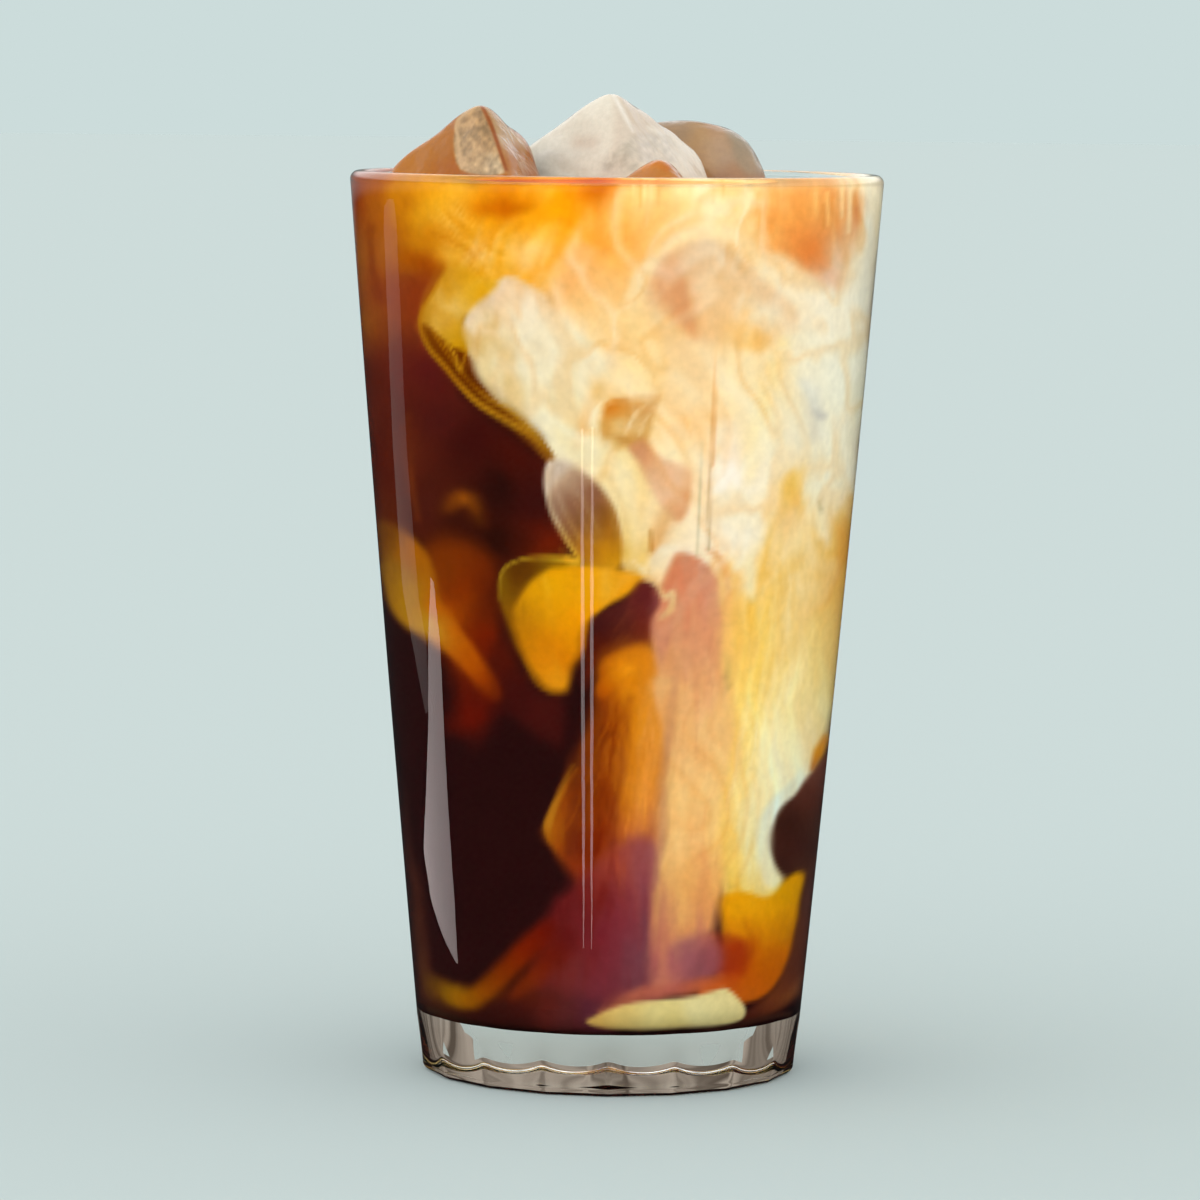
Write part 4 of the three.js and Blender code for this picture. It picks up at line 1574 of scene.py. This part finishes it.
@dataclass(frozen=True)
class Latte:
    """The drink: fills the glass, reaching just into its wall, painted with its milk clouds and with
    painted shade on its surface.
    """

    shape: TumblerShape
    camera: StudioCamera
    level: float = 148.0
    meniscus: float = 0.7
    into_wall: float = 0.15
    # painted shade: shares of red, green and blue kept on the surface, darker than the wall since the
    # surface gets more light from above, and warmer on the left
    lid_shade_left: Share = (0.72, 0.50, 0.32)
    lid_shade_right: Share = (0.86, 0.74, 0.60)
    front_columns: int = 256
    back_columns: int = 134
    wall_rows: int = 216
    top_rows: int = 20

    def angles(self) -> Array:
        """Column angles, close together over the shown side and wider round the back."""
        edge = math.radians(98)
        front = np.linspace(-edge, edge, self.front_columns)
        back = np.linspace(edge, 2 * math.pi - edge, self.back_columns + 2)[1:-1]
        return np.concatenate([front, back])

    def profile(self) -> tuple[Array, int]:
        """Radius and height from under the floor, up the wall and in over the surface.

        Returns:
            The profile, and the number of its rows that belong to the floor and the wall.
        """
        s = self.shape
        grow = self.into_wall
        fillet_top = s.floor_height + s.floor_fillet
        corner = float(s.inner(np.array(fillet_top))) - s.floor_fillet
        floor = np.stack([corner * np.linspace(0.25, 0.95, 3), np.full(3, s.floor_height - grow)],
              axis=1)
        fillet = arc((corner, fillet_top), s.floor_fillet + grow, -90, 0, 14)
        up = np.linspace(fillet_top, self.level + self.meniscus, self.wall_rows)[1:]
        wall = np.stack([s.inner(up) + grow, up], axis=1)
        rim = wall[-1, 0]
        inward = (1 - np.linspace(0, 1, self.top_rows + 1)[1:] ** 1.3 * 0.97) * rim
        top = np.stack([inward, self.level + self.meniscus * np.exp(-(rim - inward) / 1.2)], axis=1)
        body = np.concatenate([floor, fillet, wall])
        return np.concatenate([body, top]), len(body)

    def colours(self, rows: Array, angles: Array, body: int) -> Array:
        """The milk clouds at every vertex.

        A wall vertex takes the colour of the pixel it shows at. On the surface the pattern is laid
        over inwards from the wall, and towards the middle it is stirred. The surface is then
        darkened as painted shade, since it gets more light from above, more on the left where it
        is also warmed.

        Args:
            rows: The grid of points.
            angles: The column angles.
            body: The number of rows of the floor and wall.

        Returns:
            sRGB colours, one for each grid vertex.
        """
        z = rows[..., 2].copy()
        rim = np.hypot(rows[body - 1, :, 0], rows[body - 1, :, 1])
        inward = rim - np.hypot(rows[body:, :, 0], rows[body:, :, 1])
        z[body:] = self.level - inward * 0.9
        turn = np.broadcast_to(angles, z.shape).copy()
        turn = (turn + math.pi) % (2 * math.pi) - math.pi
        across, down, behind = self.shape.seen(turn, z, self.camera)
        stir = Noise(5)
        swing = behind * 55.0 * stir.cloud(np.cos(turn) * 2.1 + 7, z / 34.0)
        drop = behind * 45.0 * stir.cloud(np.cos(turn) * 1.7 + 30, z / 40.0 + 9)
        middle = np.zeros_like(z)
        middle[body:] = smoothstep(0.0, 22.0, inward)
        x, y = rows[..., 0], rows[..., 1]
        swing = swing + middle * 60.0 * stir.cloud(x / 17.0 + 3, y / 17.0)
        drop = drop + middle * 60.0 * stir.cloud(x / 17.0 + 60, y / 17.0 + 8)
        srgb = milk_clouds((across + swing).ravel(), (down + drop).ravel(), CLOUDS, COFFEE)
        # painted shade: the surface is darkened, since it gets more light from above, more on the left
        # where it is also warmed
        lid = np.zeros(z.shape)
        lid[body:] = 1.0
        rightness = smoothstep(-8.0, 30.0, x.ravel())[:, None]
        left, right = np.array(self.lid_shade_left), np.array(self.lid_shade_right)
        tint = left + (right - left) * rightness
        return srgb * (1 + (tint - 1) * lid.ravel()[:, None])

    def build(self) -> bpy.types.Object:
        """Makes the drink in place of its solid."""
        angles = self.angles()
        profile, body = self.profile()
        rows = turned_rows(profile, angles)
        piece = turned_piece("milk_coffee", rows, self.shape.floor_height - self.into_wall, self.level)
        srgb = self.colours(rows, angles, body)
        poles = np.stack([srgb[: len(angles)].mean(0), srgb[-len(angles) :].mean(0)])
        paint_points(piece, "latte_colour", np.concatenate([srgb, poles]))
        piece.data.materials.append(LatteFinish("latte_behind_glass", 0.0, 0.6).build())
        piece.data.materials.append(LatteFinish("latte_surface", 0.02, 0.3).build())
        count = len(piece.data.polygons)
        number = np.zeros(count, dtype=np.int32)
        quads = (len(profile) - 1) * len(angles)
        number[(body - 1) * len(angles) : quads] = 1
        number[quads + len(angles) :] = 1
        piece.data.polygons.foreach_set("material_index", number)
        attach(piece, "root")
        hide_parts("latte")
        return piece


@dataclass(frozen=True)
class IceBlock:
    """A piece of ice: a rounded block with a wavy melted face, painted where the picture shows it."""

    node: str
    half: tuple[float, float, float]
    square: float
    turn: tuple[float, float, float]
    centre: tuple[float, float, float]
    kind: IceKind
    base: str
    layers: tuple[Any, ...]
    steps: int = 76
    melt: float = 0.18

    def block(self) -> tuple[Array, Array]:
        """A cube's six grids drawn onto |x|^n + |y|^n + |z|^n = 1, with the shared edges merged.

        Returns:
            The points from -1 to 1, and the quads facing outwards.
        """
        line = np.tan(np.linspace(-1, 1, self.steps + 1) * math.pi / 4)
        a, b = np.meshgrid(line, line, indexing="ij")
        one = np.ones_like(a)
        sides = [(one, a, b), (-one, b, a), (b, one, a), (a, -one, b), (a, b, one), (b, a, -one)]
        points = np.concatenate([np.stack(side, axis=2).reshape(-1, 3) for side in sides])
        n = self.steps + 1
        i, j = np.meshgrid(np.arange(self.steps), np.arange(self.steps), indexing="ij")
        first = (i * n + j).ravel()
        quad = np.stack([first, first + n, first + n + 1, first + 1], axis=1)
        quads = np.concatenate([quad + k * n * n for k in range(6)])
        _, keep, number = np.unique(np.round(points, 6), axis=0, return_index=True, return_inverse=True)
        return points[keep], number.reshape(-1)[quads]

    def rotation(self) -> Array:
        """The turn about X, then the turned Y, then the turned Z, as a matrix."""
        rx, ry, rz = (Matrix.Rotation(math.radians(v), 3, axis) for v, axis in zip(self.turn, "XYZ"))
        return np.array(rx @ ry @ rz)

    def build(self, camera: StudioCamera) -> bpy.types.Object:
        """Makes the ice in place of its solid.

        Args:
            camera: The camera whose pixels place the painted frost, and the painted highlights and
                shade.

        Returns:
            The piece.
        """
        cube, quads = self.block()
        reach = (np.abs(cube) ** self.square).sum(1) ** (-1 / self.square)
        local = cube * reach[:, None] * np.array(self.half)
        wave = np.sin(local[:, 0] * 0.62 + 1.3) * np.sin(local[:, 1] * 0.71) + np.sin(local[:,
              2] * 0.83 + 2.0)
        local = local * (1 - self.melt * (0.6 + 0.4 * wave) / min(self.half))[:, None]
        points = local @ self.rotation().T + np.array(self.centre)
        piece = mesh_piece(self.node + "_block", points, [quads])
        across, down = camera.project(points)
        paint_points(piece, "ice_colour", milk_sheet(across, down, self.layers, self.base, 11, 0.4))
        piece.data.materials.append(IceFinish(self.kind).build())
        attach(piece, "root")
        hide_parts(self.node)
        return piece


ICE = (
    IceBlock(
        "ice_left",
        (11, 12, 7),
        9,
        (52, -35, 19),
        (-24, -9.6, 145.7),
        IceKind.COFFEE,
        warmed("#B4722E", (0.95, 0.76, 0.5)),
        warmed_layers(LEFT_FROST, (1.0, 0.9, 0.66)),
    ),
    IceBlock(
        "ice_centre",
        (13.5, 13.5, 13.5),
        8,
        (57, -37.5, 17),
        (-0.4, 3.2, 143),
        IceKind.CLOUDY,
        warmed("#E9E2DA", (0.92, 0.84, 0.72)),
        warmed_layers(CENTRE_FROST_HIGHLIGHT_AND_SHADE, (0.97, 0.93, 0.84)),
    ),
    IceBlock(
        "ice_right",
        (14, 8, 12.5),
        2.4,
        (-4, 6, -20),
        (11.8, 27.6, 146),
        IceKind.MELTED,
        warmed("#B89A80", (0.95, 0.8, 0.64)),
        warmed_layers(RIGHT_MELT_AND_SHADE, (0.98, 0.9, 0.8)),
    ),
    IceBlock(
        "ice_front",
        (8, 8, 7),
        5,
        (45, -35, 20),
        (6.4, -25.5, 142.2),
        IceKind.COFFEE,
        warmed("#C98A48", (0.95, 0.8, 0.55)),
        warmed_layers(FRONT_MELT_AND_HIGHLIGHT, (1.0, 0.92, 0.7)),
    ),
)


# Studio
@dataclass(frozen=True)
class Studio:
    """A plain pale floor under an even sky of soft light, with strip lights that draw the glass."""

    backdrop: str = "#CCDCDB"
    floor_colour: str = "#7E8685"
    floor_radius: float = 12.0
    ring_strength: float = 5.6
    zenith_share: float = 0.3
    right_share: float = 0.75
    back_share: float = 0.7
    strip_radius: float = 420.0
    strip_colour: str = "#FFF0EE"
    under_glow: float = 0.05
    sides: int = 96
    wall_radius: float = 3000.0
    wall_low: float = 30.0
    wall_high: float = 2600.0
    wall_colours: tuple[str, str] = ("#6B6157", "#C2B8AC")
    wall_patch: float = 260.0
    mirror_share: float = 0.35

    def floor(self) -> bpy.types.Object:
        """A large pale disc at the table's height."""
        angle = np.linspace(0, 2 * math.pi, self.sides, endpoint=False)
        ring = np.stack([np.cos(angle), np.sin(angle), np.zeros_like(angle)], axis=1)
        points = np.concatenate([ring * self.floor_radius / MM, [[0, 0, 0]]])
        first = np.arange(self.sides)
        fan = np.stack([np.full(self.sides, self.sides), first, (first + 1) % self.sides], axis=1)
        piece = mesh_piece("floor", points, [fan])
        material, tree = new_tree("studio_paper")
        body = add_node(
            tree,
            "ShaderNodeBsdfPrincipled",
            {"Base Color": linear(self.floor_colour), "Roughness": 0.9, "Specular IOR Level": 0.0},
        )
        add_node(tree, "ShaderNodeOutputMaterial", None, {"Surface": body.outputs["BSDF"]})
        piece.data.materials.append(material)
        piece.visible_glossy = False
        return piece

    def sky(self) -> None:
        """The world: dark below, the backdrop's colour at the horizon, and a ring of light above it.

        The ring rises just above the horizon, fades towards the zenith, and is stronger on the
        camera's left, each by a smooth step of the direction's own X, Y or Z.
        """
        world = bpy.data.worlds.new("studio_sky")
        bpy.context.scene.world = world
        world.use_nodes = True
        tree = world.node_tree
        tree.nodes.clear()
        way = add_node(tree, "ShaderNodeTexCoord")
        split = add_node(tree, "ShaderNodeSeparateXYZ", None, {"Vector": way.outputs["Generated"]})
        shares = {}
        for name, axis, start, end, low, high in (
            ("rise", "Z", 0.06, 0.24, 0.0, 1.0),
            ("fall", "Z", 0.45, 0.95, 1.0, self.zenith_share),
            ("left", "X", 0.9, -0.9, self.right_share, 1.0),
            ("front", "Y", 0.9, -0.9, self.back_share, 1.0),
            ("below", "Z", -0.02, -0.06, 0.0, 1.0),
        ):
            shares[name] = add_node(
                tree,
                "ShaderNodeMapRange",
                {"From Min": start, "From Max": end, "To Min": low, "To Max": high},
                {"Value": split.outputs[axis]},
                interpolation_type="SMOOTHSTEP",
            ).outputs["Result"]
        ring = shares["rise"]
        for name in ("fall", "left", "front"):
            ring = add_node(
                tree, "ShaderNodeMath", None, {0: ring, 1: shares[name]}, operation="MULTIPLY"
            ).outputs["Value"]
        bright = self.ring_strength
        lit = add_node(
            tree,
            "ShaderNodeMix",
            {6: linear(self.backdrop), 7: (bright, bright, bright, 1.0)},
            {0: ring},
            data_type="RGBA",
        )
        whole = add_node(
            tree,
            "ShaderNodeMix",
            {7: (self.under_glow, self.under_glow, self.under_glow, 1.0)},
            {0: shares["below"], 6: lit.outputs[2]},
            data_type="RGBA",
        )
        path = add_node(tree, "ShaderNodeLightPath")
        mirrored = add_node(
            tree,
            "ShaderNodeMath",
            None,
            {0: path.outputs["Is Glossy Ray"], 1: path.outputs["Is Transmission Ray"]},
            operation="SUBTRACT",
        )
        level = add_node(
            tree,
            "ShaderNodeMapRange",
            {"To Min": 1.0, "To Max": self.mirror_share},
            {"Value": mirrored.outputs["Value"]},
        )
        light = add_node(
            tree, "ShaderNodeBackground", None, {"Color": whole.outputs[2],
                  "Strength": level.outputs["Result"]}
        )
        add_node(tree, "ShaderNodeOutputWorld", None, {"Surface": light.outputs["Background"]})

    def strip(self, name: str, left: tuple[Array, Array], right: tuple[Array, Array],
          power: float) -> None:
        """A curved strip light that only shows in reflections.

        Args:
            name: Its name.
            left: Azimuth in degrees from the camera's side and height in mm, down its left edge.
            right: The same down its right edge.
            power: Its radiance.
        """
        edges = []
        for azimuth, z in (left, right):
            turn = np.radians(azimuth)
            ring = self.strip_radius
            edges.append(np.stack([ring * np.sin(turn), -ring * np.cos(turn), z], axis=1))
        rows = np.stack(edges, axis=1)
        count = len(rows)
        first = np.arange(count - 1) * 2
        quads = np.stack([first, first + 1, first + 3, first + 2], axis=1)
        piece = mesh_piece(name, rows.reshape(-1, 3), [quads])
        material, tree = new_tree(name)
        lamp = add_node(tree, "ShaderNodeEmission", {"Color": linear(self.strip_colour),
              "Strength": power})
        add_node(tree, "ShaderNodeOutputMaterial", None, {"Surface": lamp.outputs["Emission"]})
        piece.data.materials.append(material)
        piece.visible_camera = False
        piece.visible_diffuse = False
        piece.visible_shadow = False
        piece.visible_transmission = False

    def strips(self) -> None:
        """The window's reflection down the left side, its paler upper part and two thin lines."""
        self.strip(
            "left_window",
            (np.array([-98, -103, -108, -115, -123, -119, -110, -97]), np.array([8, -5, -23, -37, -47,
                  -62, -74, -89])),
            (np.array([-96, -94, -95, -96, -96, -95.5, -96, -96.5]), np.array([6, -10, -29, -46, -58,
                  -70, -80, -89])),
            2.6,
        )
        self.strip(
            "left_window_high",
            (np.array([-112, -117.5, -120, -123.7, -124, -119, -110]), np.array([116, 100, 77, 50, 17,
                  3, -20])),
            (np.array([-108, -107, -108.5, -110.5, -109, -105, -107]), np.array([114, 94, 71, 43, 9, -6,
                  -21])),
            0.45,
        )
        height = np.linspace(22.0, -107.0, 6)
        for name, middle, half in (("thin_line_left", -14.2, 0.9), ("thin_line_right", -9.8, 0.8)):
            taper = half * np.array([0.5, 0.8, 1.0, 1.0, 0.8, 0.2])
            self.strip(name, (middle - taper, height), (middle + taper, height), 3.6)

    def surround(self) -> None:
        """A warm wall round the studio that only shows through the clear foot of the glass.

        It is open to the light that falls on the pieces, so that it doesn't darken the drink.
        """
        angle = np.linspace(0, 2 * math.pi, self.sides, endpoint=False)
        ring = np.stack([np.cos(angle), np.sin(angle)], axis=1) * self.wall_radius
        low = np.concatenate([ring, np.full((self.sides, 1), self.wall_low)], axis=1)
        high = np.concatenate([ring, np.full((self.sides, 1), self.wall_high)], axis=1)
        first = np.arange(self.sides)
        after = (first + 1) % self.sides
        quads = np.stack([after, first, first + self.sides, after + self.sides], axis=1)
        piece = mesh_piece("warm_wall", np.concatenate([low, high]), [quads])
        material, tree = new_tree("warm_wall")
        place = add_node(tree, "ShaderNodeTexCoord")
        upright = add_node(
            tree, "ShaderNodeMapping", {"Scale": (1.0, 1.0, 0.02)}, {"Vector": place.outputs["Object"]}
        )
        patch = add_node(
            tree,
            "ShaderNodeTexNoise",
            {"Scale": 1.0 / (self.wall_patch * MM), "Detail": 2.0},
            {"Vector": upright.outputs["Vector"]},
        )
        share = add_node(
            tree, "ShaderNodeMapRange", {"From Min": 0.35, "From Max": 0.65},
                  {"Value": patch.outputs["Fac"]}
        )
        dark, pale = (linear(code) for code in self.wall_colours)
        colour = add_node(
            tree, "ShaderNodeMix", {6: dark, 7: pale}, {0: share.outputs["Result"]}, data_type="RGBA"
        )
        lamp = add_node(tree, "ShaderNodeEmission", {"Strength": 1.0}, {"Color": colour.outputs[2]})
        path = add_node(tree, "ShaderNodeLightPath")
        gap = add_node(tree, "ShaderNodeBsdfTransparent")
        whole = add_node(
            tree,
            "ShaderNodeMixShader",
            None,
            {0: path.outputs["Diffuse Depth"], 1: lamp.outputs["Emission"], 2: gap.outputs["BSDF"]},
        )
        add_node(tree, "ShaderNodeOutputMaterial", None, {"Surface": whole.outputs["Shader"]})
        piece.data.materials.append(material)
        piece.visible_camera = False
        piece.visible_diffuse = False
        piece.visible_glossy = False
        piece.visible_shadow = False

    def build(self) -> None:
        """Makes the floor, the sky and the strip lights, and sets plain colour handling."""
        self.floor()
        self.sky()
        self.strips()
        self.surround()
        view = bpy.context.scene.view_settings
        view.view_transform = "Standard"
        view.look = "None"


def main() -> None:
    """Builds the pieces in order and reports each one."""
    logging.basicConfig(level=logging.INFO, format="%(name)s: %(message)s")
    camera = StudioCamera()
    camera.build()
    Studio().build()
    shape = TumblerShape()
    pieces = [Tumbler(shape).build(), Latte(shape, camera).build()]
    pieces += [block.build(camera) for block in ICE]
    for piece in pieces:
        LOG.info("%s: %d faces", piece.name, len(piece.data.polygons))


if __name__ == "__main__":
    main()
